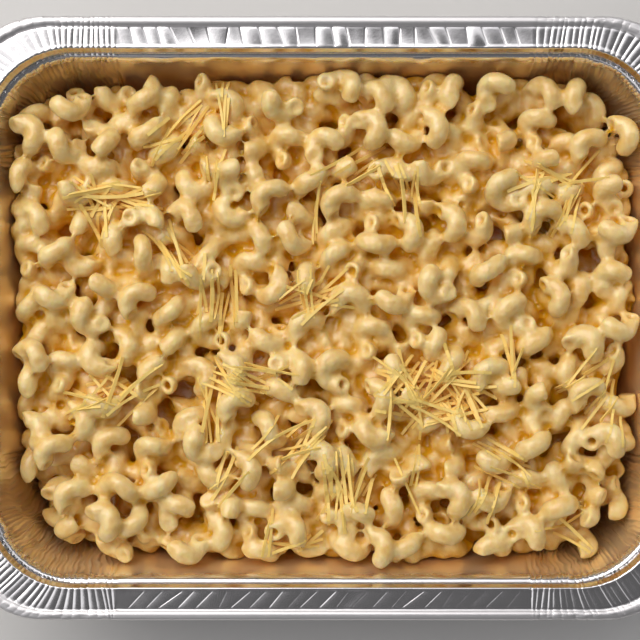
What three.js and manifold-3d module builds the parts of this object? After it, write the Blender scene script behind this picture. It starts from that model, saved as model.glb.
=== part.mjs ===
// A half-size catering tray of macaroni and cheese: a crimped foil tray, filled with a heap of
// hollow corkscrew pasta (cellentani) in cheese sauce, with strips of grated cheese over the top.
//
// Millimetres, +Z up. The origin is the middle of the tray's underside, +X runs along the tray.
// Two solids: the tray, which is one pressed sheet with a rolled rim, and the heap, which is a
// core of sauced pasta with the pieces and the cheese strips of its top fused on.

import * as THREE from "three";
import { mergeVertices } from "three/addons/utils/BufferGeometryUtils.js";
import Module from "manifold-3d";

// ---------- driving dimensions of the tray ----------
const TRAY_LENGTH = 325; // over the rolled rim, 12 3/4 in
const TRAY_WIDTH = 264; // over the rolled rim, 10 3/8 in
const TRAY_HEIGHT = 65; // table to the top of the rim, 2 9/16 in
const FOIL = 0.7; // sheet thickness
const BEAD_RADIUS = 2.2; // the rolled edge
const FLANGE_DROP = 1.4; // the flange lies this far under the top of the bead
const FLANGE_INSET = 13.8; // outer edge to the flange's inner edge
const SHOULDER_INSET = 18.3; // outer edge to the top of the sloping wall
const SHOULDER_DROP = 6.6; // top of the rim to the shoulder on which a lid sits
const BASE_INSET = 31; // outer edge to the foot of the sloping wall
const HEEL = 3.5; // height and reach of the bend from wall to base
const RIM_CORNER = 40; // corner radius of the rolled edge
const FLANGE_CORNER = 38; // corner radius of the flange's inner edge
const SHOULDER_CORNER = 35;
const BASE_CORNER = 26;

// ---------- corner pleats, where the flat sheet is gathered round a corner ----------
const CORNER_STEPS = 12; // two steps make one pleat
const PLEAT_RUN = 2; // steps that the pleats run on past each end of the corner
const PLEAT_PITCH = 7; // length of such a step
const PLEAT_DEPTH = 0.45; // each way from the smooth sheet

// ---------- driving dimensions of the heap ----------
const HEAP_GAP = 1.1; // heap to tray, more than the depth of a pleat
const FLOOR_GAP = 0.4; // heap to the tray's floor
const HEAP_EDGE = 31; // height of the core where it meets the wall
const HEAP_CROWN = 42; // height of the core in the middle
const HEAP_LIMIT = 56; // no pasta stands higher than this
const CORE_RINGS = 4;
const CORE_SIDES = 36;

// ---------- pasta and cheese ----------
const TUBE_RADIUS = 4.1;
const HOLE_RADIUS = 2; // of the hollow that shows at each end
const HOLE_DEPTH = 3;
const COIL_RADIUS = 4.7; // middle of the coil to the middle of the tube
const COIL_PITCH = 14; // length of a turn
const COIL_TURNS = [1.7, 2.5];
const TUBE_SIDES = 5;
const STEPS_PER_TURN = 4.2;
const PASTA_ROWS = 6;
const PASTA_PER_ROW = 9;
const PASTA_SINK = 1.5; // the coil's middle lies this far above the core
const STRIP_COUNT = 16;
const STRIP_LENGTH = [14, 30];
const STRIP_WIDTH = 1.9;
const STRIP_BITE = 0.6; // a strip is sunk this far into what it lies on

const PASTA_COLOUR = 0xddb370;
const FOIL_COLOUR = 0xc9c9cb;

const wasm = await Module();
wasm.setup();

// A repeatable draw from 0 to 1.
function seededRandom(seed) {
  let state = seed;
  return () => {
    state = (state + 0x6d2b79f5) | 0;
    let t = Math.imul(state ^ (state >>> 15), 1 | state);
    t = (t + Math.imul(t ^ (t >>> 7), 61 | t)) ^ t;
    return ((t ^ (t >>> 14)) >>> 0) / 4294967296;
  };
}

const mix = THREE.MathUtils.lerp;
const between = (random, [low, high]) => mix(low, high, random());

// ---------- solids ----------

// A closed mesh as a solid that can be joined and cut.
function solidFrom(geometry) {
  const bare = geometry.clone();
  bare.deleteAttribute("normal");
  bare.deleteAttribute("uv");
  const merged = mergeVertices(bare, 1e-3);
  return new wasm.Manifold(
    new wasm.Mesh({
      numProp: 3,
      vertProperties: merged.attributes.position.array,
      triVerts: new Uint32Array(merged.index.array),
    }),
  );
}

function geometryFrom(solid) {
  const mesh = solid.getMesh();
  const geometry = new THREE.BufferGeometry();
  geometry.setAttribute("position", new THREE.BufferAttribute(mesh.vertProperties, 3));
  geometry.setIndex(new THREE.BufferAttribute(mesh.triVerts, 1));
  geometry.computeVertexNormals();
  return geometry;
}

// The largest outer body of a solid: scraps go, and a hollow that has no way out is filled.
function mainBody(solid) {
  return solid.decompose().reduce((a, b) => (a.volume() > b.volume() ? a : b));
}

// A closed skin over rings of points that all have the same count, with a point at each end.
function skin(rings, firstPoint, lastPoint) {
  const count = rings[0].length;
  const points = [firstPoint, ...rings.flat(), lastPoint];
  const faces = [];
  const at = (ring, i) => 1 + ring * count + (i % count);
  for (let i = 0; i < count; i++) {
    faces.push(0, at(0, i), at(0, i + 1));
    for (let ring = 0; ring + 1 < rings.length; ring++) {
      faces.push(at(ring, i), at(ring + 1, i), at(ring + 1, i + 1));
      faces.push(at(ring, i), at(ring + 1, i + 1), at(ring, i + 1));
    }
    faces.push(at(rings.length - 1, i + 1), at(rings.length - 1, i), points.length - 1);
  }
  const geometry = new THREE.BufferGeometry().setFromPoints(points);
  geometry.setIndex(faces);
  geometry.computeVertexNormals();
  return geometry;
}

// ---------- the tray ----------

// Walks once round a rounded rectangle that lies `inset` inside the rim's outer edge. Each point
// says which way is out of the rectangle, and which way its pleat goes: 1, -1 or 0.
function walkRound(inset, corner) {
  const halfX = TRAY_LENGTH / 2 - inset - corner;
  const halfY = TRAY_WIDTH / 2 - inset - corner;
  const walk = [];
  for (let quarter = 0; quarter < 4; quarter++) {
    const cx = quarter === 0 || quarter === 3 ? halfX : -halfX;
    const cy = quarter < 2 ? halfY : -halfY;
    for (let step = -PLEAT_RUN; step <= CORNER_STEPS + PLEAT_RUN; step++) {
      const turned = THREE.MathUtils.clamp(step, 0, CORNER_STEPS) / CORNER_STEPS;
      const angle = ((quarter + turned) * Math.PI) / 2;
      const past = step < 0 ? step : Math.max(0, step - CORNER_STEPS);
      const out = new THREE.Vector2(Math.cos(angle), Math.sin(angle));
      const along = new THREE.Vector2(-out.y, out.x);
      const atEnd = step === -PLEAT_RUN || step === CORNER_STEPS + PLEAT_RUN;
      walk.push({
        x: cx + corner * out.x + past * PLEAT_PITCH * along.x,
        y: cy + corner * out.y + past * PLEAT_PITCH * along.y,
        out,
        pleat: atEnd ? 0 : step % 2 ? -1 : 1,
      });
    }
  }
  return walk;
}

// One ring of the sheet. `across` and `up` say how much of a pleat's depth goes sideways and up.
function trayRing({ inset, z, corner, across = 0, up = 0 }) {
  return walkRound(inset, corner).map(({ x, y, out, pleat }) => {
    const depth = PLEAT_DEPTH * pleat;
    return new THREE.Vector3(
      x + depth * across * out.x,
      y + depth * across * out.y,
      z + depth * up,
    );
  });
}

// The sloping wall at a height: the share of the way up, its inset and its corner radius.
const wallShare = (z) => (z - HEEL) / (TRAY_HEIGHT - SHOULDER_DROP - HEEL);
const wallInset = (z) => mix(BASE_INSET, SHOULDER_INSET, wallShare(z));
const wallCorner = (z) => mix(BASE_CORNER, SHOULDER_CORNER, wallShare(z));

// The stations of the sheet's upper face, from the floor outwards and up to the bead.
function upperStations() {
  const flangeZ = TRAY_HEIGHT - FLANGE_DROP;
  const shoulderZ = TRAY_HEIGHT - SHOULDER_DROP;
  const middleZ = mix(HEEL, shoulderZ, 0.45);
  const wall = (z) => ({ inset: wallInset(z), z, corner: wallCorner(z), across: 1 });
  return [
    { inset: BASE_INSET + HEEL, z: FOIL, corner: BASE_CORNER - HEEL },
    { inset: BASE_INSET + HEEL * 0.3, z: FOIL + HEEL * 0.3, corner: BASE_CORNER },
    wall(HEEL + FOIL * 3),
    wall(middleZ),
    wall(shoulderZ - 0.6),
    { inset: SHOULDER_INSET - 0.4, z: shoulderZ, corner: SHOULDER_CORNER, up: 0.5 },
    { inset: FLANGE_INSET + 0.9, z: shoulderZ + 0.8, corner: FLANGE_CORNER, up: 0.5 },
    { inset: FLANGE_INSET + 0.3, z: flangeZ - 0.3, corner: FLANGE_CORNER, across: 0.6 },
    { inset: FLANGE_INSET - 0.9, z: flangeZ + 0.3, corner: FLANGE_CORNER, up: 0.7 },
    { inset: FLANGE_INSET - 2.2, z: flangeZ, corner: FLANGE_CORNER, up: 0.8 },
    { inset: 2 * BEAD_RADIUS + 0.6, z: flangeZ - 0.2, corner: RIM_CORNER, up: 0.8 },
  ];
}

// The rolled edge, from its inner top over the outside to its inner underside.
function beadStations() {
  const degrees = [130, 90, 45, 0, -50, -100];
  return degrees.map((degree) => {
    const angle = THREE.MathUtils.degToRad(degree);
    return {
      inset: BEAD_RADIUS * (1 - Math.cos(angle)),
      z: TRAY_HEIGHT - BEAD_RADIUS * (1 - Math.sin(angle)),
      corner: RIM_CORNER,
      across: 0.4 * Math.max(0, Math.cos(angle)),
    };
  });
}

// The sheet's underside follows the upper face, one thickness lower and further out.
function underStations() {
  const shoulderZ = TRAY_HEIGHT - SHOULDER_DROP;
  return upperStations()
    .reverse()
    .filter((station) => Math.abs(station.inset - (FLANGE_INSET - 0.9)) > 1e-6)
    .map((station) => {
      const onWall = station.z < shoulderZ - 0.1 && station.z > FOIL;
      const onLip = station.z > shoulderZ + 1 && station.inset > FLANGE_INSET;
      const sideways = onWall || onLip ? FOIL : FOIL * 0.3;
      return {
        ...station,
        inset: station.inset - (station.z > FOIL ? sideways : 0),
        z: onWall ? Math.max(station.z - FOIL * 0.5, 0.2) : station.z - FOIL,
      };
    });
}

function foilTray() {
  const rings = [...upperStations(), ...beadStations(), ...underStations()].map(trayRing);
  return skin(rings, new THREE.Vector3(0, 0, FOIL), new THREE.Vector3(0, 0, 0));
}

// ---------- the heap ----------

// Under 1 where a point at a height is inside the heap's own edge there, and 1 on that edge. It is
// measured from the middles of the round corners, as a share of the corner's radius.
function reachAt(x, y, z, gap) {
  const corner = wallCorner(z) - gap;
  const halfX = TRAY_LENGTH / 2 - wallInset(z) - gap;
  const halfY = TRAY_WIDTH / 2 - wallInset(z) - gap;
  const dx = Math.max(0, Math.abs(x) - (halfX - corner));
  const dy = Math.max(0, Math.abs(y) - (halfY - corner));
  return Math.hypot(dx, dy) / corner;
}

// Height of the core's top, which is a low dome.
function coreTop(x, y) {
  const halfX = TRAY_LENGTH / 2 - wallInset(HEAP_EDGE);
  const halfY = TRAY_WIDTH / 2 - wallInset(HEAP_EDGE);
  const dome = (1 - (x / halfX) ** 4) * (1 - (y / halfY) ** 4);
  return mix(HEAP_EDGE, HEAP_CROWN, Math.max(0, dome));
}

// The outline of the heap's edge, worked out along rays from the middle.
function edgePoint(angle, z, gap) {
  const direction = new THREE.Vector2(Math.cos(angle), Math.sin(angle));
  let near = 0;
  let far = TRAY_LENGTH;
  for (let halving = 0; halving < 30; halving++) {
    const middle = (near + far) / 2;
    if (reachAt(direction.x * middle, direction.y * middle, z, gap) < 1) near = middle;
    else far = middle;
  }
  return direction.multiplyScalar(near);
}

// Directions for the core's rays, closer together towards the tray's corners.
function coreAngles() {
  const aspect = TRAY_WIDTH / TRAY_LENGTH;
  return Array.from({ length: CORE_SIDES }, (_, i) => {
    const even = (i / CORE_SIDES) * 2 * Math.PI;
    return Math.atan2(Math.sin(even) * aspect, Math.cos(even));
  });
}

function heapCore() {
  const angles = coreAngles();
  const bottomZ = FOIL + FLOOR_GAP;
  const ringAt = (z, gap) =>
    angles.map((angle) => {
      const edge = edgePoint(angle, z, gap);
      return new THREE.Vector3(edge.x, edge.y, z);
    });
  const rings = [ringAt(bottomZ, HEAP_GAP + HEEL), ringAt(HEEL + 2, HEAP_GAP)];
  for (let ring = 0; ring < CORE_RINGS; ring++) {
    const share = 1 - ring / CORE_RINGS;
    rings.push(
      angles.map((angle) => {
        const edge = edgePoint(angle, HEAP_EDGE, HEAP_GAP).multiplyScalar(share);
        return new THREE.Vector3(edge.x, edge.y, coreTop(edge.x, edge.y));
      }),
    );
  }
  rings.reverse();
  const top = new THREE.Vector3(0, 0, coreTop(0, 0));
  return skin(rings, top, new THREE.Vector3(0, 0, bottomZ));
}

// The line down the middle of one corkscrew tube, along X.
class CorkscrewLine extends THREE.Curve {
  constructor(turns, bow) {
    super();
    this.turns = turns;
    this.bow = bow;
  }

  getPoint(t, target = new THREE.Vector3()) {
    const turn = this.turns * (t - 0.5);
    const angle = turn * 2 * Math.PI;
    const x = turn * COIL_PITCH;
    return target.set(
      x,
      COIL_RADIUS * Math.cos(angle) + this.bow * x * x,
      COIL_RADIUS * Math.sin(angle),
    );
  }
}

// One piece of pasta: a tube along the corkscrew line, with a pit in each end where it is hollow.
function corkscrew(turns, bow) {
  const line = new CorkscrewLine(turns, bow);
  const steps = Math.round(turns * STEPS_PER_TURN);
  const { tangents, normals, binormals } = line.computeFrenetFrames(steps);
  const ringAt = (step, radius) =>
    Array.from({ length: TUBE_SIDES }, (_, side) => {
      const angle = (side / TUBE_SIDES) * 2 * Math.PI;
      return line
        .getPointAt(step / steps)
        .addScaledVector(binormals[step], radius * Math.cos(angle))
        .addScaledVector(normals[step], radius * Math.sin(angle));
    });
  const tube = Array.from({ length: steps + 1 }, (_, step) => ringAt(step, TUBE_RADIUS));
  return skin(
    [ringAt(0, HOLE_RADIUS), ...tube, ringAt(steps, HOLE_RADIUS)],
    line.getPointAt(0).addScaledVector(tangents[0], HOLE_DEPTH),
    line.getPointAt(1).addScaledVector(tangents[steps], -HOLE_DEPTH),
  );
}

// The widest reach and the greatest height of a placed piece.
function extremes(geometry) {
  const points = geometry.attributes.position;
  let reach = 0;
  let top = 0;
  for (let i = 0; i < points.count; i++) {
    const [x, y, z] = [points.getX(i), points.getY(i), points.getZ(i)];
    reach = Math.max(reach, reachAt(x, y, Math.max(z, HEEL), HEAP_GAP));
    top = Math.max(top, z);
  }
  return { reach, top };
}

// One piece of pasta, laid on the core and moved in until it clears the tray's wall.
function laidPasta(random, x, y) {
  const piece = corkscrew(between(random, COIL_TURNS), mix(-0.01, 0.01, random()));
  piece.rotateX(random() * 2 * Math.PI);
  piece.rotateY(mix(-0.5, 0.5, random() * random()));
  piece.rotateZ(random() * 2 * Math.PI);
  const inward = new THREE.Vector2(-x, -y).normalize();
  const start = new THREE.Vector2(x, y);
  for (let nudge = 0; nudge < 40; nudge++) {
    const height = coreTop(start.x, start.y) + PASTA_SINK;
    const placed = piece.clone().translate(start.x, start.y, height);
    const { reach, top } = extremes(placed);
    const over = Math.max(0, top - HEAP_LIMIT);
    if (reach < 1) return placed.translate(0, 0, -over);
    start.addScaledVector(inward, 1);
  }
  return null;
}

// Pasta in staggered rows over the whole core, each a little off its place.
function pastaPieces(random) {
  const halfX = TRAY_LENGTH / 2 - wallInset(HEAP_EDGE) - 11;
  const halfY = TRAY_WIDTH / 2 - wallInset(HEAP_EDGE) - 9;
  const pieces = [];
  for (let row = 0; row < PASTA_ROWS; row++) {
    const odd = row % 2;
    for (let place = 0; place < PASTA_PER_ROW - odd; place++) {
      const across = (place + odd / 2) / (PASTA_PER_ROW - 1);
      const x = mix(-halfX, halfX, across) + mix(-6, 6, random());
      const y = mix(-halfY, halfY, row / (PASTA_ROWS - 1)) + mix(-6, 6, random());
      const piece = laidPasta(random, x, y);
      if (piece) pieces.push(piece);
    }
  }
  return pieces;
}

// Strips of grated cheese that lie across the pasta, each bedded on the highest things under it.
function cheeseStrips(random, heap) {
  const under = new THREE.Mesh(geometryFrom(heap));
  const ray = new THREE.Raycaster();
  const down = new THREE.Vector3(0, 0, -1);
  const heightAt = (x, y) => {
    ray.set(new THREE.Vector3(x, y, 2 * TRAY_HEIGHT), down);
    const hits = ray.intersectObject(under);
    return hits.length ? hits[0].point.z : 0;
  };
  const strips = [];
  for (let n = 0; n < STRIP_COUNT; n++) {
    const spread = Math.sqrt((n + 0.5) / STRIP_COUNT);
    const round = n * 2.39996; // the golden angle spreads them evenly
    const x = Math.cos(round) * spread * TRAY_LENGTH * 0.34;
    const y = Math.sin(round) * spread * TRAY_WIDTH * 0.33;
    const heading = random() * Math.PI;
    const half = between(random, STRIP_LENGTH) / 2;
    const ends = [-half * 0.7, half * 0.7].map((along) => {
      const ex = x + along * Math.cos(heading);
      const ey = y + along * Math.sin(heading);
      return new THREE.Vector3(ex, ey, heightAt(ex, ey));
    });
    const middle = heightAt(x, y);
    const raise = Math.max(0, middle - (ends[0].z + ends[1].z) / 2);
    const strip = new THREE.BoxGeometry(half * 2, STRIP_WIDTH, STRIP_WIDTH * 0.8);
    strip.rotateY(-Math.asin((ends[1].z - ends[0].z) / ends[0].distanceTo(ends[1])));
    strip.rotateZ(heading);
    const rest = (ends[0].z + ends[1].z) / 2 + raise + STRIP_WIDTH * 0.4 - STRIP_BITE;
    strip.translate(x, y, rest);
    strips.push(solidFrom(strip));
  }
  return strips;
}

function pastaHeap() {
  const random = seededRandom(2811);
  const core = solidFrom(heapCore());
  const pasta = pastaPieces(random).map(solidFrom);
  const heap = mainBody(wasm.Manifold.union([core, ...pasta]));
  const topped = wasm.Manifold.union([heap, ...cheeseStrips(random, heap)]);
  return geometryFrom(mainBody(topped));
}

// ---------- the scene graph ----------

function named(name, geometry, colour, roughness, metalness) {
  const material = new THREE.MeshStandardMaterial({ color: colour, roughness, metalness });
  const mesh = new THREE.Mesh(geometry, material);
  mesh.name = name;
  return mesh;
}

const macAndCheese = new THREE.Group();
macAndCheese.add(named("foil_tray", foilTray(), FOIL_COLOUR, 0.3, 1));
macAndCheese.add(named("pasta_heap", pastaHeap(), PASTA_COLOUR, 0.45, 0));

export default macAndCheese;
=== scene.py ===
# %% [markdown]
# # A foil tray of macaroni and cheese
#
# A half-size catering tray is one sheet of thin aluminium, pressed over a mould. It holds a
# heap of corkscrew macaroni in cheese sauce, with grated cheese over it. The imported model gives
# the frame: where the tray stands and how large it is. This lesson dresses that frame. It makes
# the foil with its crimped corners, drops the pasta in piece by piece so that each one rests on
# the ones below, welds it together with sauce, and strews the cheese.
#
# The frame is in metres, with +Z up and the origin under the middle of the tray. Food is easier
# to think about in millimetres, so the shapes are worked out in those and turned at the end.

# %% Load the frame
import math

import bpy
import numpy as np
from mathutils import Euler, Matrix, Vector
from mathutils.bvhtree import BVHTree


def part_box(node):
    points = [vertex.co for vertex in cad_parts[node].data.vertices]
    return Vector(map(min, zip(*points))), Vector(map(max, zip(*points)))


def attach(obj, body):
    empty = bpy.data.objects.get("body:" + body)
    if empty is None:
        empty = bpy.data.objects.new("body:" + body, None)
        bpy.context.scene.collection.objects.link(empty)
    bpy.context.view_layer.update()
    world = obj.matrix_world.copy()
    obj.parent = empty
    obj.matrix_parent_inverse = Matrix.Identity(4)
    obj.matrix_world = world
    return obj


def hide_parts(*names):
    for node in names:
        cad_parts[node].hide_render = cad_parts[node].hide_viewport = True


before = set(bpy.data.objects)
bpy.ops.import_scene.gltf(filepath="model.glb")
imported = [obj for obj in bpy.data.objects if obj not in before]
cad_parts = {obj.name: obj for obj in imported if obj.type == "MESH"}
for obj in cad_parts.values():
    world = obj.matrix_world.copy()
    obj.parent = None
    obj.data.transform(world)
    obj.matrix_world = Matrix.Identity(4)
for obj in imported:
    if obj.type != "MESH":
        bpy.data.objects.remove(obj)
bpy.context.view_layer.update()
MM = 0.001
tray_low, tray_high = (np.array(corner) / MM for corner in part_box("foil_tray"))
heap_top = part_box("pasta_heap")[1][2] / MM
print("tray", (tray_high - tray_low).round(1), "mm, heap up to", round(heap_top, 1), "mm")

# %% [markdown]
# ## The camera
#
# The tray is seen from straight above. A long lens from three quarters of a metre keeps the
# tray's walls steep. The lens follows from how wide the tray's short side is in the render.

# %% Camera straight above the tray
RENDER_SIDE = 640  # pixels
TRAY_SIDE_PX = 605.3  # the tray's short side in the render
TRAY_MIDDLE_PX = (324, 318)  # the tray's middle, from the render's top left corner
CAMERA_HEIGHT = 0.75  # metres above the rim
SENSOR = 36.0  # millimetres

TRAY_LENGTH = 325.0  # millimetres, as are all the sizes of shapes below
TRAY_WIDTH = 264.0
RIM_HEIGHT = float(tray_high[2])
px_per_mm = TRAY_SIDE_PX / TRAY_WIDTH

camera_data = bpy.data.cameras.new("camera")
camera_data.sensor_width = SENSOR
camera_data.lens = SENSOR * px_per_mm / MM * CAMERA_HEIGHT / RENDER_SIDE
camera = bpy.data.objects.new("camera", camera_data)
camera.location = (
    (RENDER_SIDE / 2 - TRAY_MIDDLE_PX[0]) / px_per_mm * MM,
    (TRAY_MIDDLE_PX[1] - RENDER_SIDE / 2) / px_per_mm * MM,
    RIM_HEIGHT * MM + CAMERA_HEIGHT,
)
bpy.context.scene.collection.objects.link(camera)
bpy.context.scene.camera = camera
print("lens", round(camera_data.lens, 1), "mm")

# %% [markdown]
# ## Helpers for meshes and materials
#
# Four small functions serve every piece. One turns arrays of points and faces into an object.
# One turns a colour given as a hex value into the linear numbers that shaders work with. One adds
# a node to a material with its settings and links, so that a material reads as a short list of
# nodes. The last starts an empty material.


# %% Mesh and node helpers
def mesh_object(name, points_mm, faces, smooth=True):
    """An object at the origin, from points in millimetres and faces as lists of indices."""
    mesh = bpy.data.meshes.new(name)
    faces = [[int(i) for i in face] for face in faces]
    mesh.from_pydata((np.asarray(points_mm) * MM).tolist(), [], faces)
    mesh.polygons.foreach_set("use_smooth", [smooth] * len(mesh.polygons))
    mesh.update()
    made = bpy.data.objects.new(name, mesh)
    bpy.context.scene.collection.objects.link(made)
    return made


def linear(hex_colour):
    """An sRGB hex colour as the linear RGBA that a shader socket wants."""
    channels = [int(hex_colour[i : i + 2], 16) / 255 for i in (1, 3, 5)]
    curved = [c / 12.92 if c <= 0.04045 else ((c + 0.055) / 1.055) ** 2.4 for c in channels]
    return (*curved, 1.0)


def add_node(tree, kind, inputs=(), links=(), **settings):
    """A node of a kind, with its settings, its input values and its links from other sockets."""
    node = tree.nodes.new(kind)
    for key, value in settings.items():
        setattr(node, key, value)
    for key, value in dict(inputs).items():
        node.inputs[key].default_value = value
    for key, socket in dict(links).items():
        tree.links.new(socket, node.inputs[key])
    return node


def new_material(name):
    """A material with an empty Principled shader, and that shader."""
    material = bpy.data.materials.new(name)
    material.use_nodes = True
    return material, material.node_tree, material.node_tree.nodes["Principled BSDF"]


# %% [markdown]
# ## The foil tray
#
# The real tray is a flat sheet pushed into a mould. Along the straight sides it stretches
# smoothly. At the corners there is more sheet than corner, so it gathers in narrow pleats that
# run out over the flange and down the wall like a fan. The rim is rolled over into a bead, which
# is what makes so thin a tray stiff.
#
# The mesh is one long loft. A profile runs from the floor, up the wall, over a small shoulder
# where a lid sits, across the flange and round the bead. Each station of the profile is a
# rounded rectangle. Columns run out from the middle to meet every station, square to the straight
# sides and like spokes round the corners, because that is how the pleats run.

# %% Profile of the tray
FLANGE_INSET = 13.8  # outer edge to the flange's inner edge
SHOULDER_INSET = 17.7
SHOULDER_HEIGHT = RIM_HEIGHT - 6.5
BASE_INSET = 31.0
FLOOR_Z = 0.3
HEEL = 3.5  # how far the round edge between floor and wall reaches
RIM_CORNER, FLANGE_CORNER, SHOULDER_CORNER, BASE_CORNER = 40.0, 38.0, 35.5, 26.0
BEAD_RADIUS = 2.15
BEAD_GROOVE = 0.22  # the roll isn't quite round: a shallow groove runs along its top
FOIL_THICKNESS = 0.22


def wall_share(z):
    return (z - HEEL) / (SHOULDER_HEIGHT - HEEL)


def wall_inset(z):
    return BASE_INSET + (SHOULDER_INSET - BASE_INSET) * wall_share(z)


def wall_corner(z):
    return BASE_CORNER + (SHOULDER_CORNER - BASE_CORNER) * wall_share(z)


def station(inset, z, corner, outward, upward, part, depth):
    """One ring of the tray, the way its relief pushes, and how deep the pleats are there."""
    push = (outward, upward)
    return {"inset": inset, "z": z, "corner": corner, "push": push, "part": part, "depth": depth}


WALL_HEIGHTS = [6.5, 12, 18, 24, 30, 35, 39.5, 43.5, 47.5, 51, 54, 56.4]
FLANGE_DROP = 1.35  # the flange lies this far below the top of the bead
BEAD_DEGREES = (165, 138, 112, 92, 74, 54, 30, 2, -34, -75, -120, -170)
GROOVE_DEGREES = (92, 74)
flange_z = RIM_HEIGHT - FLANGE_DROP
stations = [
    station(70, FLOOR_Z, 12, 0, 0, "floor", 0),
    station(BASE_INSET + HEEL, FLOOR_Z, BASE_CORNER - HEEL, 0, 0, "floor", 0),
    station(
        BASE_INSET + 0.45 * HEEL, FLOOR_Z + 0.2 * HEEL, BASE_CORNER - 1.5, 0.4, 0.1, "heel", 0.2
    ),
    station(BASE_INSET + 0.1 * HEEL, FLOOR_Z + 0.7 * HEEL, BASE_CORNER, 0.8, 0, "heel", 0.4),
]
stations += [station(wall_inset(z), z, wall_corner(z), 1, 0, "wall", 0.6) for z in WALL_HEIGHTS]
stations += [
    station(SHOULDER_INSET - 0.45, SHOULDER_HEIGHT - 0.7, 35.8, 0.8, 0.3, "shoulder", 0.35),
    station(SHOULDER_INSET - 1.1, SHOULDER_HEIGHT - 0.1, 36.2, 0.5, 0.6, "shoulder", 0.3),
    station(SHOULDER_INSET - 2.0, SHOULDER_HEIGHT + 0.08, 36.8, 0, 0.8, "shoulder", 0.25),
    station(FLANGE_INSET + 1.85, SHOULDER_HEIGHT + 0.13, 37.1, 0, 0.6, "shoulder", 0.2),
    station(FLANGE_INSET + 1.6, SHOULDER_HEIGHT + 0.3, 37.3, 0.4, 0.3, "lip", 0.25),
    station(FLANGE_INSET + 0.4, flange_z - 0.4, FLANGE_CORNER, 0.7, 0, "lip", 0.3),
    station(FLANGE_INSET + 0.15, flange_z - 0.02, FLANGE_CORNER, 0.5, 0.5, "edge", 0.3),
    station(FLANGE_INSET - 0.2, flange_z + 0.1, FLANGE_CORNER, 0.1, 0.9, "edge", 0.3),
    station(FLANGE_INSET - 0.9, flange_z + 0.07, FLANGE_CORNER, 0, 1, "flange", 0.3),
    station(FLANGE_INSET - 1.8, flange_z, 38.2, 0, 1, "flange", 0.3),
    station(FLANGE_INSET - 4.8, flange_z - 0.05, 38.6, 0, 1, "flange", 0.3),
    station(FLANGE_INSET - 7.8, flange_z - 0.1, 39.2, 0, 1, "flange", 0.3),
    station(2 * BEAD_RADIUS + 0.7, flange_z - 0.15, 39.6, 0, 1, "flange", 0.3),
]
for degrees in BEAD_DEGREES:
    angle = math.radians(degrees)
    across, lift = math.cos(angle), math.sin(angle)
    radius = BEAD_RADIUS - (BEAD_GROOVE if degrees in GROOVE_DEGREES else 0)
    inset, z = BEAD_RADIUS - radius * across, RIM_HEIGHT - BEAD_RADIUS + radius * lift
    stations.append(station(inset, z, RIM_CORNER, across, lift, "bead", 0.12))
print(len(stations), "stations from the floor to the end of the bead")

# %% [markdown]
# The columns come next. A pleat is a narrow groove and then a land that leans a little one way or
# the other, so that each land mirrors something else. The straight flanges carry slanting dents
# about 7 mm apart, with a faintly folded panel between. Columns are set on the edges of grooves,
# lands and dents, so that each crease is a real edge of the mesh.

# %% Pleats and columns round the tray
PLEAT_WIDTH = (1.7, 3.3)
GROOVE_SHARE = 0.21  # how much of a pleat's width its groove takes
GATHER_RUN = 20.0  # the pleats run on this far past the end of each corner
DENT_GAP = (5.6, 8.8)
FOLD = 0.45  # how far a panel between two dents is folded up or down along its middle
DENT_STEPS = np.array([-1.0, -0.3, 0.25, 0.85])  # the edges of a dent, from its middle
# Heights of the foil, 1 being a full pleat or dent: each is a range, a spread or a rise
GROOVE_DEEP = (0.4, 1.0)
LAND_LEVEL = (0.1, 0.6)
LAND_LEAN = 0.16
LAND_CROWN = 0.08
DENT_DEEP = (0.35, 1.0)
PANEL_LEVEL = (-0.15, 0.25)
DENT_CLEAR = 4.0  # no dent's middle is nearer to the end of its side
PANEL_END = 1.2  # the first and the last panel begin this far from the pleats
PLEAT_FADE = 6.0  # this near the end of a corner's pleats they wander less and less

straight_half = np.array([TRAY_LENGTH, TRAY_WIDTH]) / 2 - FLANGE_INSET - FLANGE_CORNER
corner_length = FLANGE_CORNER * math.pi / 2
gather_length = corner_length + 2 * GATHER_RUN
side_lengths = [2 * straight_half[n % 2] - 2 * GATHER_RUN for n in range(4)]
quarter_starts = np.cumsum([0] + [gather_length + side for side in side_lengths])
once_round = quarter_starts[4]
foil_random = np.random.default_rng(41)


def pleats(random, length):
    """Places along a gathered corner and the height of the foil there, 1 being a full pleat."""
    widths = random.uniform(*PLEAT_WIDTH, round(length / np.mean(PLEAT_WIDTH)))
    widths *= length / widths.sum()
    starts = np.cumsum(widths) - widths
    deep = -random.uniform(*GROOVE_DEEP, len(widths))
    lean = random.normal(0, LAND_LEAN, len(widths))
    level = random.uniform(*LAND_LEVEL, len(widths))
    half_groove = GROOVE_SHARE / 2
    places = np.stack([starts + widths * share for share in (0, half_groove, 0.5, 1 - half_groove)])
    heights = np.stack([deep, level - lean, level + LAND_CROWN, level + lean])
    return places.T.ravel(), heights.T.ravel()


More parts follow.
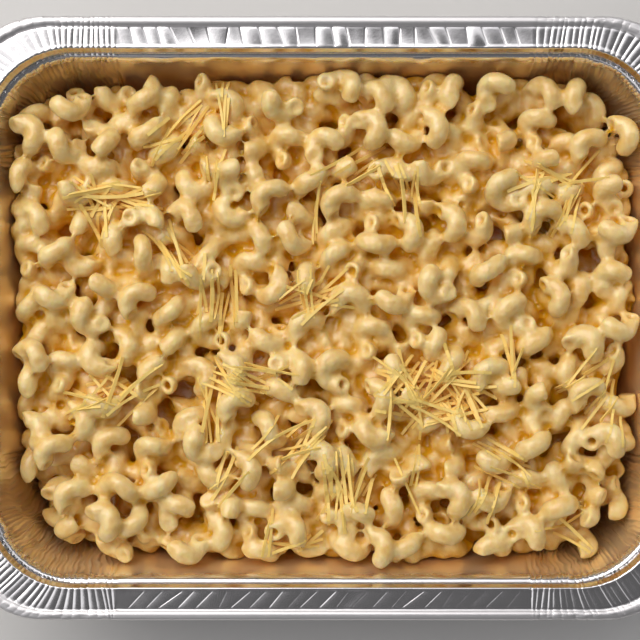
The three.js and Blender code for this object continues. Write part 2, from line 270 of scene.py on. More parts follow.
def dents(random, length, slant, strength):
    """Places along a straight side, the depth of the dents there, and how far each edge slants."""
    middles = np.cumsum(random.uniform(*DENT_GAP, int(length / DENT_GAP[0])))
    middles = middles[middles < length - DENT_CLEAR]
    deep = random.uniform(*DENT_DEEP, len(middles)) * strength
    level_before, level_after = random.uniform(*PANEL_LEVEL, (2, len(middles))) * strength
    levels = np.stack([level_before, -deep, -0.8 * deep, level_after])
    edges = (middles + DENT_STEPS[:, None]).T.ravel()
    panel_middles = (edges[3:-1:4] + edges[4::4]) / 2
    places = np.concatenate([[PANEL_END], edges, panel_middles, [length - PANEL_END]])
    heights = np.interp(places, edges, levels.T.ravel())
    heights[len(edges) + 1 : -1] += random.normal(0, FOLD, len(panel_middles)) * strength
    order = np.argsort(places)
    places, heights = places[order], heights[order]
    slants = np.interp(places, middles, random.normal(slant, 0.2, len(middles)))
    return places, heights, slants


# Far, left, near and right flange: how far the dents slant for each mm across, and their strength
SIDES = [(-0.25, 0.8), (-0.4, 0.6), (0.95, 0.24), (-0.3, 0.6)]
columns = []
for start, side, (slant, strength) in zip(quarter_starts, side_lengths, SIDES):
    pleat_places, pleat_heights = pleats(foil_random, gather_length)
    into = np.minimum(pleat_places, gather_length - pleat_places)
    flat = np.zeros(len(pleat_places))
    gather = np.clip(into / PLEAT_FADE, 0, 1)
    columns.append([start + pleat_places, pleat_heights, gather, flat, flat])
    dent_places, dent_heights, dent_slants = dents(foil_random, side, slant, strength)
    flat = np.zeros(len(dent_places))
    columns.append([start + gather_length + dent_places, flat, flat, dent_heights, dent_slants])
places, heights, gathers, dented, slants = np.concatenate(columns, axis=1)
print(len(places), "columns over", round(once_round), "mm of rim")

# %% [markdown]
# A column meets a station where the spoke crosses that rounded rectangle. Halving the stretch of
# spoke again and again finds the crossing, for all columns at once.


# %% Crossing of columns and stations
SPOKE_REACH = 80.0  # no spoke is longer
HALVINGS = 36


def outside_by(points, inset, corner):
    """How far points lie outside a rounded rectangle of the tray: under 0 is inside."""
    away = np.abs(points) - (np.array([TRAY_LENGTH, TRAY_WIDTH]) / 2 - inset - corner)
    reach = np.linalg.norm(np.maximum(away, 0), axis=-1)
    return reach + np.minimum(away.max(axis=-1), 0) - corner


def spokes(place):
    """Where the columns at these places along the rim start, and which way they run outward."""
    place = np.mod(place, once_round)
    quarter = np.clip(np.searchsorted(quarter_starts, place, side="right") - 1, 0, 3)
    past = place - quarter_starts[quarter] - GATHER_RUN
    turn = quarter * math.pi / 2 + np.clip(past, 0, corner_length) / FLANGE_CORNER
    slide = np.minimum(past, 0) + np.maximum(past - corner_length, 0)
    ways = np.column_stack([np.cos(turn), np.sin(turn)])
    at_right, at_far = (quarter == 0) | (quarter == 3), quarter < 2
    signs = np.column_stack([np.where(at_right, 1, -1), np.where(at_far, 1, -1)])
    along = np.column_stack([-ways[:, 1], ways[:, 0]])
    return straight_half * signs + slide[:, None] * along, ways


def crossings(starts, ways, inset, corner):
    """Where the spokes cross a rounded rectangle of the tray."""
    near = np.zeros(len(starts))
    far = np.full(len(starts), SPOKE_REACH)
    for _ in range(HALVINGS):
        middle = (near + far) / 2
        inside = outside_by(starts + ways * middle[:, None], inset, corner) < 0
        near, far = np.where(inside, middle, near), np.where(inside, far, middle)
    return starts + ways * near[:, None]


# %% [markdown]
# Now the relief. In the gathered corners the pleats set it. They slant a little over the flange,
# and down the wall they wander and come and go, so that no two stay parallel. The dents push the
# straight flanges down, and the long walls are gently buckled.

# %% Relief of the foil
SLANT = 0.35  # how far a pleat slides along the rim for each millimetre across the flange
DRIFT = 7.0  # the most that a pleat wanders sideways down the wall
FLOW = 1.4  # and how far pleats next to each other sway together
DENT_DEPTH = 0.9
DENTED = (FLANGE_INSET - 8, FLANGE_INSET - 1.5)  # between these insets a dent is at its deepest
DENT_SPREAD = 0.12  # how much of it reaches the rest of the flange
FLANGE_MIDDLE = 8.6  # the inset about which a dent slants
BUCKLE_DEPTH = 0.8
CRINKLE = 0.1
RIM_WANDER, RIM_SAG = 0.15, 0.2  # the rim isn't quite level

phases = foil_random.uniform(0, 2 * math.pi, 16)
pleat_pace = foil_random.uniform(4.5, 9.5, len(places))
pleat_pace = np.repeat(pleat_pace[::4], 4)[: len(places)]
pleat_phase = np.repeat(foil_random.uniform(0, 6.3, len(places))[::4], 4)[: len(places)]


def waves(place, lengths, first):
    """A smooth wander along the rim: a few waves that each fit round it a whole number of times."""
    total = np.zeros_like(place)
    for i, length in enumerate(lengths):
        turns = round(once_round / length)
        total += np.sin(place * 2 * math.pi * turns / once_round + phases[first + i])
    return total / len(lengths)


def relief(ring):
    """How far each column's point is pushed at a station, and how far it slides along the rim."""
    part, z, inset = ring["part"], ring["z"], ring["inset"]
    down = max(0.0, SHOULDER_HEIGHT - z) / SHOULDER_HEIGHT
    pushed = ring["depth"] * heights
    slid = np.zeros(len(places))
    if part == "wall":
        comes_and_goes = 0.9 + 0.8 * np.sin(z / pleat_pace + pleat_phase)
        pushed = pushed * comes_and_goes * (1 + 0.8 * down)
        slid = DRIFT * gathers * down * waves(places + 0.9 * z, (71, 43, 29), 0)
        slid += FLOW * gathers * np.sqrt(down) * waves(places + 1.6 * z, (19, 13), 12)
        fade = math.sin(math.pi * min(1.0, down + 0.1)) ** 0.6
        buckle = waves(places + 0.8 * z, (61, 37, 19), 3) * waves(places - 1.3 * z, (83, 29), 7)
        pushed += BUCKLE_DEPTH * fade * 2 * buckle
    if part in ("flange", "bead", "edge"):
        slid = SLANT * gathers * (FLANGE_INSET - inset) * waves(places, (97, 53), 9)
    if part == "flange":
        is_inside = DENTED[0] < inset < DENTED[1]
        pushed += DENT_DEPTH * (1.0 if is_inside else DENT_SPREAD) * dented
        slid += slants * (inset - FLANGE_MIDDLE)
    if part == "bead":
        crinkle = foil_random.normal(-0.1, CRINKLE, len(places))
        pushed = np.minimum(pushed + (crinkle + np.roll(crinkle, 1)) * gathers, -0.06)
    return pushed, slid


# %% Loft the foil and give it a thickness
rings = []
for ring in stations:
    push, slid = relief(ring)
    starts, ways = spokes(places + slid)
    flat = crossings(starts, ways, ring["inset"], ring["corner"])
    outward, upward = ring["push"]
    wander = 0
    if ring["part"] in ("flange", "bead"):
        wander = RIM_WANDER * waves(places, (90, 140), 9) - RIM_SAG
    height = ring["z"] + push * upward + wander
    rings.append(np.column_stack([flat + ways * (push * outward)[:, None], height]))

count = len(places)
foil_points = np.concatenate([*rings, [[0.0, 0.0, FLOOR_Z]]])
ahead = np.roll(np.arange(count), -1)
foil_faces = [
    [lower + i, lower + ahead[i], lower + count + ahead[i], lower + count + i]
    for lower in range(0, (len(rings) - 1) * count, count)
    for i in range(count)
]
foil_faces += [[i, len(foil_points) - 1, ahead[i]] for i in range(count)]
foil_sheet = mesh_object("foil_sheet", foil_points, foil_faces)
thicken = foil_sheet.modifiers.new("thickness", "SOLIDIFY")
thicken.thickness = FOIL_THICKNESS * MM
thicken.offset = -1.0
flatten = foil_sheet.modifiers.new("flat panels", "WEIGHTED_NORMAL")  # broad facets shade flat
flatten.mode = "FACE_AREA"


def baked(source, name):
    """The object's evaluated shape as a plain mesh object of a new name. The source goes."""
    depsgraph = bpy.context.evaluated_depsgraph_get()
    mesh = bpy.data.meshes.new_from_object(source.evaluated_get(depsgraph))
    mesh.name = name
    made = bpy.data.objects.new(name, mesh)
    bpy.context.scene.collection.objects.link(made)
    bpy.data.objects.remove(source)
    return made


def triangle_count(made):
    return sum(len(polygon.vertices) - 2 for polygon in made.data.polygons)


foil = baked(foil_sheet, "crimped_foil_tray")
print("foil tray:", triangle_count(foil), "triangles")

# %% [markdown]
# ## One piece of pasta
#
# Cellentani are short hollow tubes wound like a corkscrew, about two turns long. No two are
# alike: they come off the cutter at different lengths, and boiling bends and swells them. The
# line down the middle of the tube is a helix with a slight bow. The tube is swept along it ring
# by ring. Each end is cut square, with a soft edge, and opens into the hollow, which goes in far
# enough to look dark, or is stopped up with sauce a little way in.

# %% Shape of a corkscrew
TUBE_RADIUS = 4.4
HOLE_RADIUS = 1.8
COIL_RADIUS = 4.6
COIL_PITCH = 12.6
WHOLE_TURNS = (1.4, 2.3)
BROKEN_TURNS = (0.6, 1.2)
TUBE_SIDES = 16
RINGS_PER_TURN = 17
END_LENGTH = 1.7  # the cut end with its soft edge takes this much of the tube
WHOLE_KINDS, BROKEN_KINDS = 30, 7
ARC_PER_TURN = math.hypot(2 * math.pi * COIL_RADIUS, COIL_PITCH)

pasta_random = np.random.default_rng(7)


def new_kind(random, turns):
    """The numbers that make one kind of piece its own, with a range for its turns."""
    return {
        "turns": random.uniform(*turns),
        "pitch": COIL_PITCH * random.uniform(0.84, 1.2),
        "coil": COIL_RADIUS * random.uniform(0.8, 1.25),
        "tube": TUBE_RADIUS * random.uniform(0.92, 1.06),
        "bow": random.uniform(-0.022, 0.022),
        "start": random.uniform(0, 2 * math.pi),
        "swell": random.uniform(0, 2 * math.pi, 5),
        "hollow": random.choice([0.9, 1.6, 5.0, 9.0], 2),
        "hole": HOLE_RADIUS * random.uniform(0.75, 1.2),
    }


def middle_line(kind, turn):
    """Points on the line down the middle of the tube, at turns counted from the piece's middle."""
    angle = 2 * math.pi * turn + kind["start"]
    x = kind["pitch"] * turn
    bow = kind["bow"] * (x**2 - (kind["pitch"] * kind["turns"] / 2) ** 2 / 3)
    reach = kind["coil"] * (1 + 0.12 * np.sin(2.1 * turn + kind["swell"][0]))
    return np.column_stack([x, reach * np.cos(angle) + bow, reach * np.sin(angle)])


def corkscrew(kind):
    """Points and faces of one piece about its own middle."""
    half = kind["turns"] / 2
    tube, hole = kind["tube"], kind["hole"]
    rings_in_body = int(kind["turns"] * RINGS_PER_TURN)

    def end(depth):
        inwards = [depth, 0.5 * depth, 0.75, 0.2, 0.0, 0.0, 0.22, 0.8]
        radii = [0.7 * hole, hole, hole, hole + 0.2, hole + 0.65, tube - 0.7, tube - 0.2, tube]
        return np.array(inwards) / ARC_PER_TURN, np.array(radii)

    (first_in, first_radii), (last_in, last_radii) = (end(depth) for depth in kind["hollow"])
    body_half = half - END_LENGTH / ARC_PER_TURN
    body = np.linspace(-body_half, body_half, rings_in_body)
    turns = np.concatenate([-half + first_in, body, half - last_in[::-1]])
    radii = np.concatenate([first_radii, np.full(rings_in_body, tube), last_radii[::-1]])
    skin = np.concatenate([0 * first_in, np.ones(rings_in_body), 0 * last_in])

    centre = middle_line(kind, turns)
    tangent = middle_line(kind, turns + 1e-3) - middle_line(kind, turns - 1e-3)
    tangent /= np.linalg.norm(tangent, axis=1)[:, None]
    angle = 2 * math.pi * turns + kind["start"]
    spoke = np.column_stack([np.zeros_like(angle), np.cos(angle), np.sin(angle)])
    spoke -= tangent * np.sum(spoke * tangent, axis=1)[:, None]
    spoke /= np.linalg.norm(spoke, axis=1)[:, None]
    side = np.cross(tangent, spoke)

    round_about = np.arange(TUBE_SIDES) * 2 * math.pi / TUBE_SIDES
    a, b, c, d, e = kind["swell"]
    along = turns[:, None] * ARC_PER_TURN
    uneven = (
        0.04 * np.sin(round_about + a + 0.16 * along)
        + 0.035 * np.sin(2 * round_about + b + 0.1 * along)
        + 0.035 * np.sin(0.42 * along + c)
        + 0.02 * np.sin(0.9 * along + 3 * round_about + d)
        + 0.015 * np.sin(1.6 * along - 2 * round_about + e)
    )
    reach = radii[:, None] * (1 + uneven * skin[:, None])
    points = (
        centre[:, None]
        + spoke[:, None] * (reach * np.cos(round_about))[..., None]
        + side[:, None] * (reach * np.sin(round_about))[..., None]
    ).reshape(-1, 3)

    lows = np.arange(len(turns) - 1)[:, None] * TUBE_SIDES
    i = np.arange(TUBE_SIDES)
    j = (i + 1) % TUBE_SIDES
    quads = np.stack([lows + i, lows + j, lows + TUBE_SIDES + j, lows + TUBE_SIDES + i], axis=-1)
    caps = [i[::-1].tolist(), (lows[-1] + TUBE_SIDES + i).tolist()]
    faces = quads.reshape(-1, 4).tolist() + caps
    return points, faces


kinds = [new_kind(pasta_random, WHOLE_TURNS) for _ in range(WHOLE_KINDS)]
kinds += [new_kind(pasta_random, BROKEN_TURNS) for _ in range(BROKEN_KINDS)]
shapes = [corkscrew(kind) for kind in kinds]
print(len(kinds), "kinds of corkscrew,", len(shapes[0][0]), "points in the first")

# %% [markdown]
# ## Filling the tray
#
# Real pasta lands where it finds room. A full physics run would take too long, so the heap is
# built with a height map: a grid that holds how high the pasta stands so far, one cell for each
# millimetre. To place a piece, many kinds and turns of it are tried over the lowest spot. Each
# try is lowered until it touches, and the one whose middle comes to rest lowest wins, as it would
# if the tray were shaken. The grid then rises by that piece, and the next one follows, until the
# heap reaches its dome.

# %% Height maps of a piece and of the tray
CELL = 1.0
PATCH = 25  # half the width of a piece's own map, in cells
PIECE_TRIES = 720
MAP_HALF = (190, 160)
BLOCKED = 900.0
SAMPLES = 48  # points along the middle of a tube that stand for the piece
FOIL_CLEARANCE = 1.2  # the pasta is placed this far from the plain wall

grid_x = np.arange(-MAP_HALF[0], MAP_HALF[0] + 1) * CELL
grid_y = np.arange(-MAP_HALF[1], MAP_HALF[1] + 1) * CELL
map_x, map_y = np.meshgrid(grid_x, grid_y, indexing="ij")
map_points = np.stack([map_x, map_y], axis=-1)


def wall_map():
    """Height of the tray's inner face over each cell, and BLOCKED beyond the shoulder."""
    height = np.full(map_x.shape, 1.0)
    for z in np.arange(1.0, SHOULDER_HEIGHT, 1.0):
        gap = outside_by(map_points, wall_inset(z), wall_corner(z))
        height = np.where(gap > -FOIL_CLEARANCE, z, height)
    beyond = outside_by(map_points, SHOULDER_INSET, SHOULDER_CORNER) > -FOIL_CLEARANCE
    return np.where(beyond, BLOCKED, height)


def piece_samples(kind, rotation):
    """Points along the middle of a turned piece."""
    turns = np.linspace(-0.5, 0.5, SAMPLES) * kind["turns"]
    return middle_line(kind, turns) @ np.array(rotation.to_matrix()).T


def piece_map(kind, samples):
    """Lowest and highest surface of a turned piece over its own small grid."""
    cells = np.arange(-PATCH, PATCH + 1) * CELL
    px, py = np.meshgrid(cells, cells, indexing="ij")
    away = (px[..., None] - samples[:, 0]) ** 2 + (py[..., None] - samples[:, 1]) ** 2
    inside = away < kind["tube"] ** 2
    rise = np.sqrt(np.where(inside, kind["tube"] ** 2 - away, 0))
    top = np.where(inside, samples[:, 2] + rise, -BLOCKED).max(axis=-1)
    bottom = np.where(inside, samples[:, 2] - rise, BLOCKED).min(axis=-1)
    return bottom, top


def facing_up(samples):
    """How steeply the two cut ends face up: 1 is straight up."""
    ways = np.stack([samples[0] - samples[1], samples[-1] - samples[-2]])
    return ways[:, 2] / np.linalg.norm(ways, axis=1)


tries = []
for n in range(PIECE_TRIES):
    kind = kinds[n % len(kinds)]
    tilt = pasta_random.normal(0, 0.6)
    rotation = Euler(
        (pasta_random.uniform(0, 2 * math.pi), tilt, pasta_random.uniform(0, 2 * math.pi))
    )
    tries.append((n % len(kinds), rotation, piece_samples(kind, rotation)))
maps = [piece_map(kinds[kind], samples) for kind, _, samples in tries]
bottoms = np.array([bottom for bottom, _ in maps])
tops = np.array([top for _, top in maps])
tallest_part = tops.max(axis=(1, 2))
ends_up = np.array([facing_up(samples) for _, _, samples in tries])
walls = wall_map()
print(PIECE_TRIES, "turned pieces to try")

# %% [markdown]
# The dome is what the heap should reach: highest in the middle, lower at the walls, lowest in the
# corners, and lumpy. In a few places along the walls the heap falls short and the foil shows.
# Below the dome, the lowest layers are never seen, so a lumpy core of sauced pasta takes their
# place.

# %% The dome
CROWN_HEIGHT = 53.0
LUMPINESS = 2.2
VISIBLE_DEPTH = 20.0  # how far below the dome real pieces begin
EDGE_HEIGHT = 48.0  # the heap's edge is the wall at this height
EDGE_GAP = 2.5  # and no piece is aimed at a spot nearer to it
# Places where the heap falls short: middle x and y, reach along x and y, and depth, in millimetres
HOLLOWS = [
    (-122, 114, 30, 14, 20),
    (-79, 114, 10, 12, 13),
    (-147, 12, 9, 20, 12),
    (-144, -84, 22, 26, 30),
    (-112, -116, 30, 17, 28),
    (-37, -116, 13, 11, 10),
    (20, -116, 11, 11, 10),
    (140, 94, 18, 22, 18),
    (136, -98, 24, 22, 26),
    (100, -118, 24, 10, 12),
]


def dome(x, y):
    """Height that the heap should reach over a place in the tray."""
    u, v = np.clip(np.abs(x) / 143, 0, 1), np.clip(np.abs(y) / 112, 0, 1)
    lumps = np.sin(x / 15 + 1.1 * np.sin(y / 21)) * np.sin(y / 13 + 0.7) + 0.6 * np.sin(x / 37 - 1)
    height = CROWN_HEIGHT - 2 * u**4 - 3 * v**4 - 22 * (u * v) ** 3 + LUMPINESS * lumps
    for hollow_x, hollow_y, reach_x, reach_y, depth in HOLLOWS:
        away = ((x - hollow_x) / reach_x) ** 2 + ((y - hollow_y) / reach_y) ** 2
        height = height - depth * np.exp(-away)
    return height


goal = dome(map_x, map_y)
core_height = np.maximum(goal - VISIBLE_DEPTH, 4.0)
heap_map = np.maximum(walls, core_height)
past_edge = outside_by(map_points, wall_inset(EDGE_HEIGHT), wall_corner(EDGE_HEIGHT))
within = past_edge < 0
room = past_edge < -EDGE_GAP
print("dome from", goal[room].min().round(1), "to", goal[room].max().round(1), "mm")

# %% [markdown]
# Some tubes stand with a cut end up, and those ends are what the eye finds first. They go in
# before the rest, each at its own spot and with its end at the height of the dome.

# %% Pieces with a cut end up
TALLEST = 59.5
SINK = 2.8  # soft, sauced pieces press into each other this far
STEEP = (0.3, 0.9)  # how steeply a shown end faces up, 1 being straight up
OPEN_HOLLOW = 3  # and its tube is hollow at least this far in
END_BELOW = 1.5  # the middle of a shown end lies this far below the dome
END_PROUD = 3  # its piece should rise no further than this above the dome
END_CLEAR = 3.6  # how far round it the heap is kept clear of later pieces
# Where the cut ends lie, x and y in millimetres
END_SPOTS = [
    (-101, 102), (-56, 106), (-49, 96), (-126, 69), (8, 88), (65, 93), (78, 106), (63, 59),
    (45, 103), (134, 58), (116, 48), (92, 78), (-36, 14), (20, 42), (12, 21), (69, 44),
    (107, 29), (85, 17), (-119, -30), (-120, -84), (-102, -85), (-71, -103), (-35, -96), (7, -50),
    (87, -83), (43, -88), (118, -85), (74, -92), (-46, -10), (9, -30), (18, -15), (0, -88),
    (-80, -68), (-97, 47), (-70, -30), (-20, 70), (40, -10), (128, -14), (-134, 22),
]


def window_at(i, j):
    return slice(i - PATCH, i + PATCH + 1), slice(j - PATCH, j + PATCH + 1)


def cell_at(x, y):
    return round(x / CELL) + MAP_HALF[0], round(y / CELL) + MAP_HALF[1]


placed, open_ends = [], []
standing_tries = [
    (n, e)
    for n in range(PIECE_TRIES)
    for e in (0, 1)
    if STEEP[0] < ends_up[n, e] < STEEP[1] and kinds[tries[n][0]]["hollow"][e] > OPEN_HOLLOW
]
for x, y in END_SPOTS:
    best = None
    for n, e in standing_tries:
        tip = tries[n][2][-e]
        i, j = cell_at(x - tip[0], y - tip[1])
        rest = dome(x, y) - tip[2] - END_BELOW
        pressed = np.maximum(heap_map[window_at(i, j)] - (rest + bottoms[n]), 0)
        cost = pressed.max() + 0.02 * np.minimum(pressed, 30).sum()
        cost += 2.0 * max(0.0, rest + tallest_part[n] - min(dome(x, y) + END_PROUD, TALLEST))
        if best is None or cost < best[0]:
            best = (cost, n, i, j, rest)
    _, n, i, j, rest = best
    window = window_at(i, j)
    heap_map[window] = np.maximum(heap_map[window], rest + tops[n])
    kept_clear = np.hypot(map_x - x, map_y - y) < END_CLEAR
    heap_map[kept_clear] = np.maximum(heap_map[kept_clear], dome(x, y) + END_PROUD)
    placed.append((n, (map_x[i, j], map_y[i, j], rest)))
    open_ends.append((x, y, dome(x, y) - END_BELOW))
print(len(placed), "pieces with an end up")

# %% Drop the rest
MOST_PIECES = 520
LAST_GAP = 3.0  # filling stops when the lowest spots found are this close to the dome
TRIES_EACH = 160
END_COST = 4.0  # how much lower a piece must come to rest to show its cut ends
PICKS = 70  # places that are looked at for the lowest spot
NEIGHBOURS = [(0, 0), (-5, 3), (4, 5), (5, -4), (-3, -5), (8, 0), (0, 8), (-8, 0), (0, -8)]

open_cells = np.argwhere(room)
while len(placed) < MOST_PIECES:
    picks = open_cells[pasta_random.integers(0, len(open_cells), PICKS)]
    wants = []
    for i, j in picks:
        near = (slice(i - 6, i + 7), slice(j - 6, j + 7))
        gaps = np.clip(goal[near] - heap_map[near], -8, None)[within[near]]
        wants.append(gaps.mean())
    if max(wants) < LAST_GAP:
        break
    spot = picks[int(np.argmax(wants))]
    some = pasta_random.integers(0, PIECE_TRIES, TRIES_EACH)
    best = None
    for i, j in spot + NEIGHBOURS:
        rest = (heap_map[window_at(i, j)] - bottoms[some]).max(axis=(1, 2)) - SINK
        reach = rest + tallest_part[some]
        over = np.maximum(reach - goal[i, j] - 2.0, 0) + 8 * np.maximum(reach - TALLEST, 0)
        cost = rest + 1.5 * over + END_COST * np.clip(ends_up[some], 0, 1).sum(axis=1)
        low = int(np.argmin(cost))
        if best is None or cost[low] < best[0]:
            best = (cost[low], int(some[low]), i, j, rest[low])
    _, n, i, j, rest = best
    if rest + tallest_part[n] > TALLEST:  # nothing fits, so the spot is given up
        heap_map[spot[0] - 3 : spot[0] + 4, spot[1] - 3 : spot[1] + 4] += 4
        continue
    window = window_at(i, j)
    heap_map[window] = np.maximum(heap_map[window], rest + tops[n])
    placed.append((n, (map_x[i, j], map_y[i, j], rest)))
print(len(placed), "pieces placed, last gap", round(float(max(wants)), 1), "mm")

# %% [markdown]
# Gaps are left where no whole piece fits. Real pasta is soft and would slump into them. So the
# deepest gaps each get one more piece that passes below its neighbours and shows only in the gap.
# Of many tries the one that stands out least above the heap is taken.

# %% Plug the deep gaps
PLUGS = 200
PLUG_GAP = 9.5  # gaps deeper than this get a plug
PLUG_DEPTH = (6.0, 10.0)  # how far below the dome a plug's back lies
PLUG_FILL = 8  # a plugged gap counts as filled up to this far below the dome
NARROW = [(0, 0), (1, 0), (-1, 0), (0, 1), (0, -1)]  # a gap is at least this cross of cells

plug_count = 0
for _ in range(PLUGS):
    deep = np.where(room, goal - heap_map, 0)
    deep = np.minimum.reduce([np.roll(deep, shift, (0, 1)) for shift in NARROW])
    i, j = np.unravel_index(deep.argmax(), deep.shape)
    if deep[i, j] < PLUG_GAP:
        break
    best = None
    for n in pasta_random.integers(0, PIECE_TRIES, TRIES_EACH):
        samples = tries[n][2]
        under = samples[pasta_random.integers(4, SAMPLES - 4)]
        ci, cj = i - round(under[0] / CELL), j - round(under[1] / CELL)
        rest = goal[i, j] - pasta_random.uniform(*PLUG_DEPTH) - under[2] - TUBE_RADIUS
        window = window_at(ci, cj)
        proud = np.maximum(rest + tops[n] - np.maximum(heap_map[window], goal[window] - 4), 0)
        outside = (rest + bottoms[n] < walls[window]) & (tops[n] > -BLOCKED)
        cost = proud.sum() + 10 * outside.sum()
        if best is None or cost < best[0]:
            best = (cost, n, ci, cj, rest)
    _, n, ci, cj, rest = best
    window = window_at(ci, cj)
    heap_map[window] = np.maximum(heap_map[window], rest + tops[n])
    gap_cells = (slice(i - 1, i + 2), slice(j - 1, j + 2))
    heap_map[gap_cells] = np.maximum(heap_map[gap_cells], goal[i, j] - PLUG_FILL)
    placed.append((n, (map_x[ci, cj], map_y[ci, cj], rest)))
    plug_count += 1
print(plug_count, "plugs, deepest gap left", round(float(deep[i, j]), 1), "mm")

# %% [markdown]
# ## The core
#
# Under the visible layers lies more of the same. One closed, lumpy body fills the tray from the
# floor to where the real pieces begin.

# %% Core under the pasta
CORE_STEP = 4.0
CORE_SPAN = (270, 210)


def sauce_core(gap, lower):
    """A closed body: a grid of tops, squeezed in to stay clear of the tray's walls by a gap."""
    columns, rows = (int(span / CORE_STEP) + 1 for span in CORE_SPAN)
    u, v = np.meshgrid(np.linspace(-1, 1, columns), np.linspace(-1, 1, rows), indexing="ij")
    wide = np.maximum(np.abs(u), np.abs(v))
    squeeze = np.where(wide > 0, wide / np.maximum(np.hypot(u, v), 1e-9), 1)
    round_u, round_v = u * (0.6 + 0.4 * squeeze), v * (0.6 + 0.4 * squeeze)

    def fitted(z):
        lost = wall_inset(z) + gap
        return round_u * (TRAY_LENGTH / 2 - lost), round_v * (TRAY_WIDTH / 2 - lost)

    x, y = fitted(16.0)
    lumps = 0.9 * np.sin(x / 3.1) * np.sin(y / 2.7)
    top = np.maximum(dome(x, y) - VISIBLE_DEPTH, 4.0) + lumps - lower
    x, y = fitted(top)
    low_x, low_y = fitted(2.0)
    count = columns * rows
    low = np.column_stack([low_x.ravel() * 0.985, low_y.ravel() * 0.985, np.full(count, 1.0)])
    points = np.concatenate([np.column_stack([x.ravel(), y.ravel(), top.ravel()]), low])
    index = np.arange(count).reshape(columns, rows)
    quads = np.stack([index[:-1, :-1], index[1:, :-1], index[1:, 1:], index[:-1, 1:]], axis=-1)
    quads = quads.reshape(-1, 4)
    border = np.concatenate([index[:, 0], index[-1, 1:], index[-2::-1, -1], index[0, -2:0:-1]])
    after = np.roll(border, -1)
    sides = np.column_stack([after, border, border + count, after + count])
    return points, np.concatenate([quads, quads[:, ::-1] + count, sides])


core = mesh_object("sauced_core", *sauce_core(gap=1.2, lower=1.5))
print("core:", triangle_count(core), "triangles")

# %% [markdown]
# ## Sauce over the pasta
#
# Sauce rounds every crease and shuts every narrow gap, whichever way it faces. Three steps do the
# same to a mesh. The heap swells, its overlapping skins are welded into one, and it shrinks back by
# as much as it swelled. A gap narrower than twice the swelling stays shut, and each crease keeps a
# round hollow, like the water at the rim of a glass. The Remesh modifier does the welding, from
# small cubes. The swelling is large where the sauce is thick and slight round the open ends, so
# that those stay open.

# %% How thick the sauce lies
THIN_SAUCE, THICK_SAUCE = 0.25, 1.1  # how far the heap swells, millimetres
# Round an open end the sauce is this thick up to the first distance, and full from the second
END_SAUCE = 0.35
END_REACH = (4.0, 9.0)
SKIN_CUBE = 0.95
FEWEST_FACES = 3000.0  # a loose part of the skin with fewer faces is a bubble


def sauciness(x, y):
    """How thick the sauce lies over a place, from 0 to 1."""
    waves_of_sauce = np.sin(x / 11 + 1.3 * np.sin(y / 17)) * np.sin(y / 9 + 0.8)
    return np.clip(0.45 + 0.8 * waves_of_sauce, 0, 1)


def swelling(points):
    """How far the heap swells at points."""
    nearest = np.full(len(points), BLOCKED)
    for end in open_ends:
        nearest = np.minimum(nearest, ((points - end) ** 2).sum(axis=1))
    away = np.clip((np.sqrt(nearest) - END_REACH[0]) / (END_REACH[1] - END_REACH[0]), 0, 1)
    thick = THIN_SAUCE + (THICK_SAUCE - THIN_SAUCE) * sauciness(points[:, 0], points[:, 1])
    return END_SAUCE + (thick - END_SAUCE) * away


# %% Geometry Nodes that drop the bubbles
def group_input(tree, name, kind, default=None):
    """A named input on a Geometry Nodes group."""
    socket = tree.interface.new_socket(name, in_out="INPUT", socket_type=kind)
    if default is not None:
        socket.default_value = default
    return socket


def attribute(tree, name, data_type):
    """The output of a node that reads a named attribute."""
    node = add_node(
        tree, "GeometryNodeInputNamedAttribute", {"Name": name}, data_type=data_type
    )
    return node.outputs["Attribute"]


def set_inputs(modifier, **values):
    """Sets a Geometry Nodes modifier's inputs by the socket identifiers of their names."""
    for item in modifier.node_group.interface.items_tree:
        if item.in_out == "INPUT" and item.name in values:
            modifier[item.identifier] = values[item.name]


def bubble_tree():
    """Deletes each loose part of a mesh that has fewer faces than it should."""
    tree = bpy.data.node_groups.new("drop the bubbles", "GeometryNodeTree")
    group_input(tree, "Skin", "NodeSocketGeometry")
    group_input(tree, "Fewest Faces", "NodeSocketFloat", 1000.0)
    tree.interface.new_socket("Whole skin", in_out="OUTPUT", socket_type="NodeSocketGeometry")
    given = add_node(tree, "NodeGroupInput").outputs
    island = add_node(tree, "GeometryNodeInputMeshIsland").outputs["Island Index"]
    faces = add_node(
        tree,
        "GeometryNodeAccumulateField",
        {"Value": 1.0},
        {"Group ID": island},
        data_type="FLOAT",
        domain="FACE",
    )
    small = add_node(
        tree,
        "ShaderNodeMath",
        links={0: faces.outputs["Total"], 1: given["Fewest Faces"]},
        operation="LESS_THAN",
    )
    kept = add_node(
        tree,
        "GeometryNodeDeleteGeometry",
        links={"Geometry": given["Skin"], "Selection": small.outputs["Value"]},
        domain="FACE",
    )
    add_node(tree, "NodeGroupOutput", links={"Whole skin": kept.outputs["Geometry"]})
    return tree


# %% Swell, weld and shrink
def joined(parts):
    """Points and faces of several pieces as one list of each."""
    firsts = np.cumsum([0] + [len(points) for points, _ in parts])
    faces = [
        [int(i) + first for i in face]
        for (_, faces), first in zip(parts, firsts)
        for face in faces
    ]
    return np.concatenate([points for points, _ in parts]), faces


def welded(made):
    """The object with its overlapping skins made into one, from small cubes."""
    modifier = made.modifiers.new("weld", "REMESH")
    modifier.mode = "VOXEL"
    modifier.voxel_size = SKIN_CUBE * MM
    modifier.use_smooth_shade = True
    return baked(made, "one skin")


def skin_arrays(made):
    """Points in millimetres and normals of an object's mesh."""
    points, normals = np.empty((2, len(made.data.vertices) * 3))
    made.data.vertices.foreach_get("co", points)
    made.data.vertex_normals.foreach_get("vector", normals)
    return points.reshape(-1, 3) / MM, normals.reshape(-1, 3)


def move_to(made, points):
    made.data.vertices.foreach_set("co", (points * MM).ravel())
    made.data.update()


